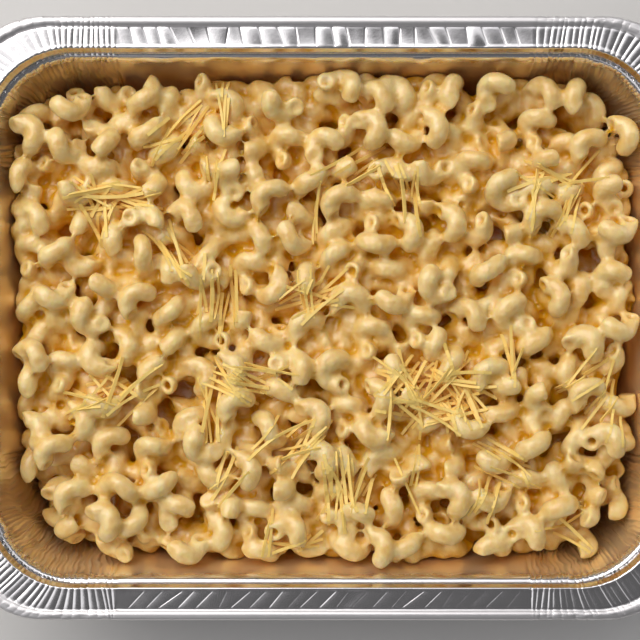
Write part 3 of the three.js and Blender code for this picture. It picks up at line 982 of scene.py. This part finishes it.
def smoothed(made, times):
    modifier = made.modifiers.new("smooth", "SMOOTH")
    modifier.factor = 0.5
    modifier.iterations = times
    return baked(made, "one skin")


pieces = []
for n, place in placed:
    points, faces = shapes[tries[n][0]]
    pieces.append((points @ np.array(tries[n][1].to_matrix()).T + place, faces))
heap = welded(mesh_object("bare heap", *joined([*pieces, sauce_core(gap=0.8, lower=0.0)])))
for way in (1, -1):
    points, normals = skin_arrays(heap)
    move_to(heap, points + way * normals * swelling(points)[:, None])
    heap = welded(heap) if way == 1 else smoothed(heap, 2)
modifier = heap.modifiers.new("drop the bubbles", "NODES")
modifier.node_group = bubble_tree()
set_inputs(modifier, **{"Fewest Faces": FEWEST_FACES})
heap = baked(heap, "one skin")
print("heap:", triangle_count(heap), "triangles before it is trimmed")

# %% [markdown]
# One more thing makes pasta look sauced: the coat is lumpy. Geometry Nodes push the finished
# surface in and out along a slow noise, and store where the coat is thin, for the colour.


# %% Geometry Nodes for the coat
def coat_tree():
    tree = bpy.data.node_groups.new("coat with sauce", "GeometryNodeTree")
    group_input(tree, "Pasta", "NodeSocketGeometry")
    group_input(tree, "Coat", "NodeSocketFloat", 0.0)
    group_input(tree, "Lumps", "NodeSocketFloat", 100.0)
    tree.interface.new_socket("Sauced pasta", in_out="OUTPUT", socket_type="NodeSocketGeometry")
    given = add_node(tree, "NodeGroupInput").outputs
    noise = add_node(tree, "ShaderNodeTexNoise", {"Detail": 1.0}, {"Scale": given["Lumps"]})
    thin = add_node(
        tree, "ShaderNodeMath", {0: 1.0}, {1: noise.outputs["Fac"]}, operation="SUBTRACT"
    )
    marked = add_node(
        tree,
        "GeometryNodeStoreNamedAttribute",
        {"Name": "thin"},
        {"Geometry": given["Pasta"], "Value": thin.outputs["Value"]},
        data_type="FLOAT",
        domain="POINT",
    )
    level = add_node(
        tree, "ShaderNodeMath", {1: 0.5}, {0: noise.outputs["Fac"]}, operation="SUBTRACT"
    )
    depth = add_node(
        tree,
        "ShaderNodeMath",
        links={0: level.outputs["Value"], 1: given["Coat"]},
        operation="MULTIPLY",
    )
    normal = add_node(tree, "GeometryNodeInputNormal")
    push = add_node(
        tree,
        "ShaderNodeVectorMath",
        links={"Vector": normal.outputs["Normal"], "Scale": depth.outputs["Value"]},
        operation="SCALE",
    )
    coated = add_node(
        tree,
        "GeometryNodeSetPosition",
        links={"Geometry": marked.outputs["Geometry"], "Offset": push.outputs["Vector"]},
    )
    add_node(tree, "NodeGroupOutput", links={"Sauced pasta": coated.outputs["Geometry"]})
    return tree


# %% Coat the heap
COAT = 0.9  # millimetres from the thinnest to the thickest sauce
LUMPS = 190.0  # bumps of sauce in a metre
WALL_GAP = 0.5  # the food keeps this far from the foil
WALL_REACH = 8.0  # the foil is looked for from this far inside each point
NEAR_WALL = 4.0  # only points this near the plain wall are tested against the real foil

modifier = heap.modifiers.new("coat with sauce", "NODES")
modifier.node_group = coat_tree()
set_inputs(modifier, Coat=COAT * MM, Lumps=LUMPS)
heap = baked(heap, "one skin")


foil_surface = BVHTree.FromObject(foil, bpy.context.evaluated_depsgraph_get())


def inside_walls(points):
    """Points, with those too near the foil moved in, square to the wall."""
    flat, z = points[:, :2], np.minimum(points[:, 2], SHOULDER_HEIGHT)
    corner = wall_corner(z)[:, None]
    away = np.abs(flat) - np.array([TRAY_LENGTH, TRAY_WIDTH]) / 2 + wall_inset(z)[:, None] + corner
    out = np.maximum(away, 1e-6)
    reach = np.linalg.norm(out, axis=1, keepdims=True)
    ways = np.column_stack([np.sign(flat) * out / reach, np.zeros(len(points))])
    fitted = points - ways * np.maximum(reach - corner, 0)
    for i in np.flatnonzero((reach - corner)[:, 0] > -NEAR_WALL):
        start = Vector(((fitted[i] - ways[i] * WALL_REACH) * MM).tolist())
        far = foil_surface.ray_cast(start, Vector(ways[i].tolist()))[3]
        if far is not None:
            fitted[i] -= ways[i] * max(0.0, WALL_REACH - far / MM + WALL_GAP)
    return fitted


for made in (heap, core):
    move_to(made, inside_walls(skin_arrays(made)[0]))
print("the heap's skin reaches", round(skin_arrays(heap)[0][:, 2].max(), 1), "mm")

# %% [markdown]
# ## Finishes
#
# Cooked pasta in cheese sauce is pale, soft and wet. Light goes a few millimetres into it and
# comes out warmer, which is why the gaps between the pieces glow orange-brown and not grey. That
# is subsurface scattering. The colour wanders at random between cream and straw, and deep straw is
# painted into the creases and the deep places as painted shade. The gloss is broken by small
# waves of sauce.


# %% Sauced pasta
PATCHES = 90.0  # patches of colour in a metre, so that one is about 11 mm across
RIPPLES = 300.0  # waves of sauce in a metre, about 3 mm each


def sauced_pasta(name, cream, straw_and_shade, wetness=0.8, glow=0.8):
    material, tree, shader = new_material(name)
    place = add_node(tree, "ShaderNodeTexCoord").outputs["Object"]
    patches = add_node(
        tree,
        "ShaderNodeTexNoise",
        {"Scale": PATCHES, "Detail": 3.0, "Roughness": 0.6},
        {"Vector": place},
    )
    ripple = add_node(
        tree,
        "ShaderNodeTexNoise",
        {"Scale": RIPPLES, "Detail": 3.0, "Roughness": 0.6},
        {"Vector": place},
    )
    # painted shade: creases and deep places are pushed towards the straw colour
    painted_shade = add_node(tree, "ShaderNodeAttribute", attribute_name="painted_shade")
    thin = add_node(tree, "ShaderNodeAttribute", attribute_name="thin")
    share = add_node(
        tree,
        "ShaderNodeMath",
        links={0: patches.outputs["Fac"], 1: thin.outputs["Fac"]},
        operation="ADD",
    )
    # lean adds the random patches and the thin sauce to the painted shade of creases and deep
    # places
    lean = add_node(
        tree,
        "ShaderNodeMath",
        links={0: share.outputs["Value"], 1: painted_shade.outputs["Fac"]},
        operation="ADD",
    )
    straw_and_shade_mix = add_node(
        tree,
        "ShaderNodeMapRange",
        {"From Min": 0.84, "From Max": 1.8},
        {"Value": lean.outputs["Value"]},
    )
    colour = add_node(
        tree,
        "ShaderNodeMix",
        {"A": linear(cream), "B": linear(straw_and_shade)},
        {"Factor": straw_and_shade_mix.outputs["Result"]},
        data_type="RGBA",
    )
    bump = add_node(
        tree,
        "ShaderNodeBump",
        {"Strength": 0.75, "Distance": 0.8 * MM},
        {"Height": ripple.outputs["Fac"]},
    )
    tree.links.new(colour.outputs["Result"], shader.inputs["Base Color"])
    tree.links.new(bump.outputs["Normal"], shader.inputs["Normal"])
    shader.inputs["Roughness"].default_value = 0.6 - 0.35 * wetness
    shader.inputs["IOR"].default_value = 1.45
    shader.inputs["Coat Weight"].default_value = wetness
    shader.inputs["Coat Roughness"].default_value = 0.22
    shader.inputs["Subsurface Weight"].default_value = glow
    shader.inputs["Subsurface Radius"].default_value = (1.0, 0.75, 0.25)
    shader.inputs["Subsurface Scale"].default_value = 1.6 * MM
    return material


pasta_finish = sauced_pasta("pasta_in_cheese_sauce", "#F8DC9B", "#DDA510")
# The core's colours are darker than the pasta's: painted shade for the pasta deep in the heap
core.data.materials.append(sauced_pasta("sauce_underneath_painted_shade", "#E0A040", "#D08A28", 0.0, 0.2))
print("made", pasta_finish.name)

# %% [markdown]
# The creases are found by smoothing a copy of the skin. Where the smoothed skin stands proud of the
# real one, the place is hollow, and it gets painted shade: a deeper colour, as does skin far below
# the dome. Then the skin is cut into strips across the tray, so that none is too heavy, and what
# the core hides is left out. Each strip keeps the whole skin's normals, so that no seam shows.

# %% Paint shade into the creases and the deep places
CREASE_DEPTH = (0.15, 1.1)  # hollows this deep, in millimetres, begin to get painted shade and have all of it
# How strongly creases and deep places get painted shade, a push towards the straw colour
CREASE_PAINTED_SHADE = 1.05
DEEP_PAINTED_SHADE = 0.8
DEEP_RANGE = (3, 15)  # this far below the dome the painted shade of deep places begins and is full
SMOOTHINGS = 24  # passes that smooth the copy

copy = heap.copy()
copy.data = heap.data.copy()
bpy.context.scene.collection.objects.link(copy)
copy = smoothed(copy, SMOOTHINGS)
points, normals = skin_arrays(heap)
hollow = ((skin_arrays(copy)[0] - points) * normals).sum(axis=1)
bpy.data.objects.remove(copy)
below = dome(points[:, 0], points[:, 1]) - points[:, 2]
painted_shade_values = CREASE_PAINTED_SHADE * np.interp(hollow, CREASE_DEPTH, (0, 1))
painted_shade_values += DEEP_PAINTED_SHADE * np.interp(below, DEEP_RANGE, (0, 1))
heap.data.attributes.new("painted_shade", "FLOAT", "POINT").data.foreach_set("value", painted_shade_values)
print("creases cover", round(100 * float((hollow > 0.3).mean())), "% of the skin")

# %% Cut the skin into strips
STRIPS = ("left", "middle_left", "middle_right", "right")
HIDDEN = 2.5  # skin further than this below the lowest real pieces is left out


def faces_array(made):
    """The corners of an all-quad mesh, four to a row."""
    corners = np.empty(len(made.data.loops), int)
    made.data.loops.foreach_get("vertex_index", corners)
    return corners.reshape(-1, 4)


def strip_of(quads, name):
    """A new object from some of the heap's faces."""
    used, renumbered = np.unique(quads, return_inverse=True)
    made = mesh_object(name, points[used], renumbered.reshape(-1, 4))
    for stored in ("painted_shade", "thin"):
        values = np.empty(len(points))
        heap.data.attributes[stored].data.foreach_get("value", values)
        made.data.attributes.new(stored, "FLOAT", "POINT").data.foreach_set("value", values[used])
    made.data.normals_split_custom_set_from_vertices(normals[used].tolist())
    made.data.materials.append(pasta_finish)
    return made


quads = faces_array(heap)
shown = quads[(below[quads] < VISIBLE_DEPTH + HIDDEN).any(axis=1)]
middle_x = points[shown, 0].mean(axis=1)
cuts = np.quantile(middle_x, np.linspace(0, 1, len(STRIPS) + 1)[1:-1])
strips = []
for n, name in enumerate(STRIPS):
    strips.append(strip_of(shown[np.searchsorted(cuts, middle_x) == n], f"corkscrews_{name}"))
    print(strips[-1].name, triangle_count(strips[-1]), "triangles")
bpy.data.objects.remove(heap)

# %% [markdown]
# The cheese lies on top, so it needs to know how high the pasta stands. Rays from above find the
# highest surface over a fine grid.

# %% Rays from above
FINE = 0.75
FINE_HALF = (144, 114)
RAY_START = 0.1  # metres above the floor


def seen_from_above(objects):
    """Height of the highest of the objects' surfaces over each cell of the fine grid."""
    depsgraph = bpy.context.evaluated_depsgraph_get()
    shapes = [BVHTree.FromObject(made, depsgraph) for made in objects]
    down = Vector((0, 0, -1))
    height = np.full(fine_x.shape, 1.0)
    within_shoulder = outside_by(fine_points, SHOULDER_INSET, SHOULDER_CORNER) < 0
    for (i, j), inside in np.ndenumerate(within_shoulder):
        if not inside:
            continue
        start = Vector((fine_x[i, j] * MM, fine_y[i, j] * MM, RAY_START))
        for shape in shapes:
            hit = shape.ray_cast(start, down)[0]
            if hit is not None:
                height[i, j] = max(height[i, j], hit.z / MM)
    return height


fine_x, fine_y = np.meshgrid(
    np.arange(-FINE_HALF[0], FINE_HALF[0], FINE),
    np.arange(-FINE_HALF[1], FINE_HALF[1], FINE),
    indexing="ij",
)
fine_points = np.stack([fine_x, fine_y], axis=-1)
laid_height = seen_from_above(strips)
print(laid_height.size, "rays from above")

# %% [markdown]
# ## Grated cheese
#
# The cheese was strewn by hand, so it lies in loose tufts with bare pasta between. A shred is
# stiff: it lies across the crests and bends only a little. Each shred is a short chain of edges
# over the height map, pulled tight over the crests below it. Geometry Nodes sweep a small
# rectangle along each chain.

# %% Lay the shreds
SHRED_LENGTH = (10.0, 28.0)
SHRED_WIDTH = 1.45
SHRED_THICKNESS = 0.8
STREWN = 1.3  # more cheese for each tuft than its row says
SHRED_POINTS = 8
SHRED_CURL = 0.005
SHRED_SAG, MOST_SAG = 0.4, 4  # the share of a gap that a shred sags into it, up to this gap
SHRED_LOWEST = 36  # no shred reaches lower, where the sloping wall comes near
SHRED_WALL_HEIGHT, SHRED_WALL_GAP = 40.0, 2  # where the wall is measured, and the gap kept to it
SHRED_RIM_GAP = 3  # and none comes nearer than this to the height of the rim
# Tufts: middle x and y in millimetres, reach along x and y, main direction in degrees, how far the
# shreds stray from that direction, and how many there are
TUFTS = [
    (-94, 54, 26, 12, 0, 22, 15),
    (-99, 47, 14, 14, 88, 20, 6),
    (-66, 83, 16, 16, 48, 16, 9),
    (-44, 96, 4, 14, 88, 8, 3),
    (-50, 63, 8, 10, 85, 12, 2),
    (-47, 7, 16, 18, 88, 7, 9),
    (-68, 28, 12, 12, 125, 14, 6),
    (-6, 12, 22, 16, 40, 40, 12),
    (12, 67, 14, 8, 35, 10, 5),
    (31, 61, 10, 14, 118, 14, 4),
    (-4, 48, 3, 12, 90, 6, 2),
    (40, 52, 4, 16, 92, 8, 3),
    (92, 56, 6, 20, 86, 10, 3),
    (104, 62, 30, 8, 5, 22, 7),
    (108, 44, 8, 14, 65, 10, 3),
    (-94, -34, 30, 14, 10, 40, 14),
    (-34, -28, 26, 12, 168, 20, 13),
    (-50, -42, 6, 10, 88, 12, 4),
    (-16, -54, 26, 20, 42, 14, 10),
    (-42, -70, 8, 12, 55, 12, 4),
    (46, -34, 34, 24, 30, 60, 42),
    (62, -36, 22, 16, 130, 25, 14),
    (6, -74, 14, 22, 96, 18, 12),
    (18, -72, 8, 18, 70, 10, 5),
    (40, -72, 8, 12, 104, 10, 2),
    (80, -64, 20, 16, 138, 12, 6),
    (72, -82, 8, 10, 62, 10, 3),
    (84, -20, 5, 12, 88, 10, 3),
    (128, -40, 16, 22, 62, 10, 6),
    (116, -28, 14, 14, 42, 12, 4),
    (108, -96, 16, 14, 55, 40, 9),
    (-24, -98, 4, 12, 82, 8, 2),
    (-8, -100, 14, 8, 20, 40, 4),
]
cheese_random = np.random.default_rng(19)


def height_at(x, y):
    i = np.clip(np.round((x + FINE_HALF[0]) / FINE).astype(int), 0, fine_x.shape[0] - 1)
    j = np.clip(np.round((y + FINE_HALF[1]) / FINE).astype(int), 0, fine_x.shape[1] - 1)
    return laid_height[i, j]


def pulled_tight(along, heights):
    """The upper hull of heights over a line: a thread pulled tight across the crests."""
    hull = []
    for point in zip(along, heights):
        while len(hull) > 1:
            (ax, az), (bx, bz) = hull[-2], hull[-1]
            if (bx - ax) * (point[1] - az) - (bz - az) * (point[0] - ax) < 0:
                break
            hull.pop()
        hull.append(point)
    return np.interp(along, *zip(*hull))


def shred_line(x, y, heading, length):
    """Points of one shred, lying on the pasta."""
    along = np.linspace(-0.5, 0.5, SHRED_POINTS) * length
    curl = cheese_random.normal(0, SHRED_CURL) * along**2
    px = x + along * math.cos(heading) - curl * math.sin(heading)
    py = y + along * math.sin(heading) + curl * math.cos(heading)
    heights = height_at(px, py)
    tight = pulled_tight(along, heights)
    lying = tight - SHRED_SAG * np.minimum(tight - heights, MOST_SAG)
    return np.column_stack([px, py, lying])


wall_line = wall_inset(SHRED_WALL_HEIGHT), wall_corner(SHRED_WALL_HEIGHT)
shreds = []
for x, y, reach_x, reach_y, heading, stray, many in TUFTS:
    for _ in range(round(many * STREWN)):
        place = cheese_random.uniform(-0.5, 0.5, 2) * (reach_x, reach_y) + (x, y)
        turned = math.radians(heading + cheese_random.normal(0, stray))
        length = cheese_random.uniform(*SHRED_LENGTH)
        line = shred_line(*place, turned, length)
        is_inside = (outside_by(line[:, :2], *wall_line) < -SHRED_WALL_GAP).all()
        lowest, highest = line[:, 2].min(), line[:, 2].max()
        if is_inside and lowest > SHRED_LOWEST and highest < RIM_HEIGHT - SHRED_RIM_GAP:
            shreds.append(line)
print(len(shreds), "shreds of cheese")


# %% Geometry Nodes that give the shreds their section
def shred_tree():
    tree = bpy.data.node_groups.new("grate the cheese", "GeometryNodeTree")
    group_input(tree, "Lines", "NodeSocketGeometry")
    group_input(tree, "Width", "NodeSocketFloat", 0.0015)
    group_input(tree, "Thickness", "NodeSocketFloat", 0.001)
    group_input(tree, "Finish", "NodeSocketMaterial")
    tree.interface.new_socket("Shreds", in_out="OUTPUT", socket_type="NodeSocketGeometry")
    given = add_node(tree, "NodeGroupInput").outputs
    lines = add_node(tree, "GeometryNodeMeshToCurve", links={"Mesh": given["Lines"]})
    rolled_lines = add_node(
        tree,
        "GeometryNodeSetCurveTilt",
        links={"Curve": lines.outputs["Curve"], "Tilt": attribute(tree, "roll", "FLOAT")},
    )
    section = add_node(
        tree,
        "GeometryNodeCurvePrimitiveQuadrilateral",
        links={"Width": given["Width"], "Height": given["Thickness"]},
    )
    swept = add_node(
        tree,
        "GeometryNodeCurveToMesh",
        {"Fill Caps": True},
        {
            "Curve": rolled_lines.outputs["Curve"],
            "Profile Curve": section.outputs["Curve"],
            "Scale": attribute(tree, "girth", "FLOAT"),
        },
    )
    real = add_node(
        tree, "GeometryNodeRealizeInstances", links={"Geometry": swept.outputs["Mesh"]}
    )
    flat = add_node(
        tree,
        "GeometryNodeSetShadeSmooth",
        {"Shade Smooth": False},
        {"Geometry": real.outputs["Geometry"]},
    )
    finished = add_node(
        tree,
        "GeometryNodeSetMaterial",
        links={"Geometry": flat.outputs["Geometry"], "Material": given["Finish"]},
    )
    add_node(tree, "NodeGroupOutput", links={"Shreds": finished.outputs["Geometry"]})
    return tree


# %% [markdown]
# Mild yellow cheese is a little more yellow than the sauce, waxy, and lets light through its thin
# edges.


# %% Finish of the cheese
CHEESE_GRAIN = 160.0  # patches in a metre, about 6 mm each


def grated_cheese():
    material, tree, shader = new_material("grated_cheese")
    place = add_node(tree, "ShaderNodeTexCoord").outputs["Object"]
    grain = add_node(
        tree, "ShaderNodeTexNoise", {"Scale": CHEESE_GRAIN, "Detail": 3.0}, {"Vector": place}
    )
    colour = add_node(
        tree,
        "ShaderNodeMix",
        {"A": linear("#FFE08C"), "B": linear("#F8D067")},
        {"Factor": grain.outputs["Fac"]},
        data_type="RGBA",
    )
    tree.links.new(colour.outputs["Result"], shader.inputs["Base Color"])
    shader.inputs["Roughness"].default_value = 0.45
    shader.inputs["IOR"].default_value = 1.45
    shader.inputs["Subsurface Weight"].default_value = 0.12
    shader.inputs["Subsurface Radius"].default_value = (1.0, 0.6, 0.3)
    shader.inputs["Subsurface Scale"].default_value = 0.8 * MM
    return material


# %% Sweep the shreds
line_edges = [
    (n * SHRED_POINTS + i, n * SHRED_POINTS + i + 1)
    for n in range(len(shreds))
    for i in range(SHRED_POINTS - 1)
]
lines = bpy.data.meshes.new("lines")
lines.from_pydata((np.concatenate(shreds) * MM).tolist(), line_edges, [])
girths = np.repeat(cheese_random.uniform(0.7, 1.1, len(shreds)), SHRED_POINTS)
rolls = np.repeat(cheese_random.uniform(-0.6, 0.6, len(shreds)), SHRED_POINTS)
lines.attributes.new("girth", "FLOAT", "POINT").data.foreach_set("value", girths)
lines.attributes.new("roll", "FLOAT", "POINT").data.foreach_set("value", rolls)
holder = bpy.data.objects.new("lines", lines)
bpy.context.scene.collection.objects.link(holder)
modifier = holder.modifiers.new("grate the cheese", "NODES")
modifier.node_group = shred_tree()
set_inputs(
    modifier, Width=SHRED_WIDTH * MM, Thickness=SHRED_THICKNESS * MM, Finish=grated_cheese()
)
cheese = baked(holder, "grated_cheese_shreds")
print("cheese:", triangle_count(cheese), "triangles")

# %% [markdown]
# ## Foil
#
# Household aluminium foil is rolled bright. It mirrors its surroundings, blurred by the fine
# lines of the rolls, and its look comes from the pleats far more than from any colour. On the
# inner face, below the shoulder, it is made rougher, a little less metallic and golden: the golden
# tint is a painted reflection of the food beside it. The bead is crinkled too finely to model, so
# it is only made rougher. A metal keeps its default IOR.


# %% Finish of the foil
CRUMPLES = 260.0  # dimples in a metre, about 4 mm each


def bright_foil():
    material, tree, shader = new_material("bright_rolled_aluminium")
    place = add_node(tree, "ShaderNodeTexCoord").outputs["Object"]
    crumple = add_node(
        tree,
        "ShaderNodeTexNoise",
        {"Scale": CRUMPLES, "Detail": 3.0, "Roughness": 0.6},
        {"Vector": place},
    )
    bump = add_node(
        tree,
        "ShaderNodeBump",
        {"Strength": 0.15, "Distance": 0.3 * MM},
        {"Height": crumple.outputs["Fac"]},
    )
    roughness = add_node(
        tree,
        "ShaderNodeMapRange",
        {"To Min": 0.16, "To Max": 0.27},
        {"Value": crumple.outputs["Fac"]},
    )
    dull_and_painted_reflection = add_node(tree, "ShaderNodeAttribute", attribute_name="dull_and_painted_reflection").outputs["Fac"]
    blur = add_node(tree, "ShaderNodeAttribute", attribute_name="blur").outputs["Fac"]
    dull = add_node(
        tree, "ShaderNodeMath", links={0: blur, 1: roughness.outputs["Result"]}, operation="ADD"
    )
    bare = add_node(tree, "ShaderNodeMath", {1: -0.2, 2: 1.0}, {0: dull_and_painted_reflection}, operation="MULTIPLY_ADD")
    # The golden colour on the inner wall is a painted reflection of the food beside it
    colour = add_node(
        tree,
        "ShaderNodeMix",
        {"A": linear("#EDEBEC"), "B": linear("#FFE9BE")},
        {"Factor": dull_and_painted_reflection},
        data_type="RGBA",
    )
    tree.links.new(bump.outputs["Normal"], shader.inputs["Normal"])
    tree.links.new(colour.outputs["Result"], shader.inputs["Base Color"])
    tree.links.new(dull.outputs["Value"], shader.inputs["Roughness"])
    tree.links.new(bare.outputs["Value"], shader.inputs["Metallic"])
    return material


DULL_WALL_BLUR, BEAD_BLUR = 0.15, 0.26  # how much rougher the dulled inner wall and the crinkled bead are
DULL_AND_REFLECTION_FADE = (50, 58)  # heights between which the dulling and the painted reflection fade to nothing
BEAD_LINE = 2 * BEAD_RADIUS + 0.5  # the bead lies outside this inset

points = skin_arrays(foil)[0]
# Where the inner wall is dulled and gets its painted reflection
dull_and_painted_reflection = np.interp(points[:, 2], DULL_AND_REFLECTION_FADE, (1, 0))
dull_and_painted_reflection[: len(foil_points)] = 0  # the first half of the points is the outer face, which stays bright and bare
blur = DULL_WALL_BLUR * dull_and_painted_reflection
blur += BEAD_BLUR * (outside_by(points[:, :2], BEAD_LINE, RIM_CORNER) > 0)
foil.data.attributes.new("dull_and_painted_reflection", "FLOAT", "POINT").data.foreach_set("value", dull_and_painted_reflection)
foil.data.attributes.new("blur", "FLOAT", "POINT").data.foreach_set("value", blur)
foil.data.materials.clear()
foil.data.materials.append(bright_foil())
print("made", foil.data.materials[0].name)

# %% [markdown]
# ## Putting it on the frame
#
# Nothing here moves, so every piece rides on the one body. The foil stands for the plain tray,
# and the pasta, the cheese and the core together stand for the plain heap.

# %% Ride and replace
food = [core, cheese, *strips]
for made in (foil, *food):
    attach(made, "root")
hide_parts("foil_tray")
for made in food:
    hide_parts("pasta_heap")

# %% [markdown]
# ## Floor and light
#
# The tray stands on a plain pale floor. One large soft light hangs up beyond the far left side,
# so the far flange mirrors it and the near flange stays dark. A sky fills the shadows. It is
# brightest far to the left, and dim near the horizon and in a patch overhead.


# %% Floor
FLOOR_HALF = 2500.0
FLOOR_GAP = 0.3  # the floor lies this far below the tray's own zero


def pale_floor():
    material, tree, shader = new_material("pale_floor")
    place = add_node(tree, "ShaderNodeTexCoord").outputs["Object"]
    grain = add_node(tree, "ShaderNodeTexNoise", {"Scale": 9.0, "Detail": 2.0}, {"Vector": place})
    colour = add_node(
        tree,
        "ShaderNodeMix",
        {"A": linear("#DEDDDB"), "B": linear("#D8D7D5")},
        {"Factor": grain.outputs["Fac"]},
        data_type="RGBA",
    )
    tree.links.new(colour.outputs["Result"], shader.inputs["Base Color"])
    shader.inputs["Roughness"].default_value = 0.7
    return material


floor_corners = [
    (x * FLOOR_HALF, y * FLOOR_HALF, -FLOOR_GAP) for x, y in ((-1, -1), (1, -1), (1, 1), (-1, 1))
]
floor = mesh_object("floor", floor_corners, [(0, 1, 2, 3)], smooth=False)
floor.data.materials.append(pale_floor())


# %% Lights
def soft_light(name, place, aim, size, watts, colour):
    """A rectangular soft box at a place, in metres, that looks at its aim."""
    data = bpy.data.lights.new(name, "AREA")
    data.shape = "RECTANGLE"
    data.size, data.size_y = size
    data.energy = watts
    data.color = linear(colour)[:3]
    light = bpy.data.objects.new(name, data)
    light.location = place
    light.rotation_euler = (Vector(aim) - Vector(place)).to_track_quat("-Z", "Y").to_euler()
    bpy.context.scene.collection.objects.link(light)


def sky(overhead, far_left, near_right):
    """A world that is brightest far left and dark near the horizon and in a patch overhead."""
    world = bpy.data.worlds.new("sky")
    bpy.context.scene.world = world
    world.use_nodes = True
    tree = world.node_tree
    place = add_node(tree, "ShaderNodeTexCoord").outputs["Generated"]
    middle = Vector((0.37, -0.33, 1.0)).normalized()
    closeness = add_node(
        tree, "ShaderNodeVectorMath", {1: middle}, {0: place}, operation="DOT_PRODUCT"
    )
    farness = add_node(
        tree, "ShaderNodeVectorMath", {1: (-0.6, 0.8, 0.0)}, {0: place}, operation="DOT_PRODUCT"
    )
    across = add_node(
        tree,
        "ShaderNodeMapRange",
        {"From Min": -0.8, "From Max": 0.8, "To Min": near_right, "To Max": far_left},
        {"Value": farness.outputs["Value"]},
    )
    up = add_node(tree, "ShaderNodeSeparateXYZ", links={"Vector": place}).outputs["Z"]
    around = add_node(
        tree,
        "ShaderNodeMapRange",
        {"From Min": 0.3, "From Max": 0.75, "To Min": 0.12},
        {"Value": up, "To Max": across.outputs["Result"]},
        interpolation_type="SMOOTHSTEP",
    )
    strength = add_node(
        tree,
        "ShaderNodeMapRange",
        {"From Min": 0.75, "From Max": 0.85, "To Max": overhead},
        {"Value": closeness.outputs["Value"], "To Min": around.outputs["Result"]},
        interpolation_type="SMOOTHSTEP",
    )
    background = tree.nodes["Background"]
    background.inputs["Color"].default_value = linear("#F1F0F2")
    tree.links.new(strength.outputs["Result"], background.inputs["Strength"])


soft_light("window", (-0.8, 0.9, 1.1), (0, 0, 0.04), (1.6, 1.4), 16.5, "#FFFAF4")
sky(0.12, 1.6, 0.42)
bpy.context.scene.cycles.diffuse_bounces = 8
bpy.context.scene.view_settings.view_transform = "Standard"
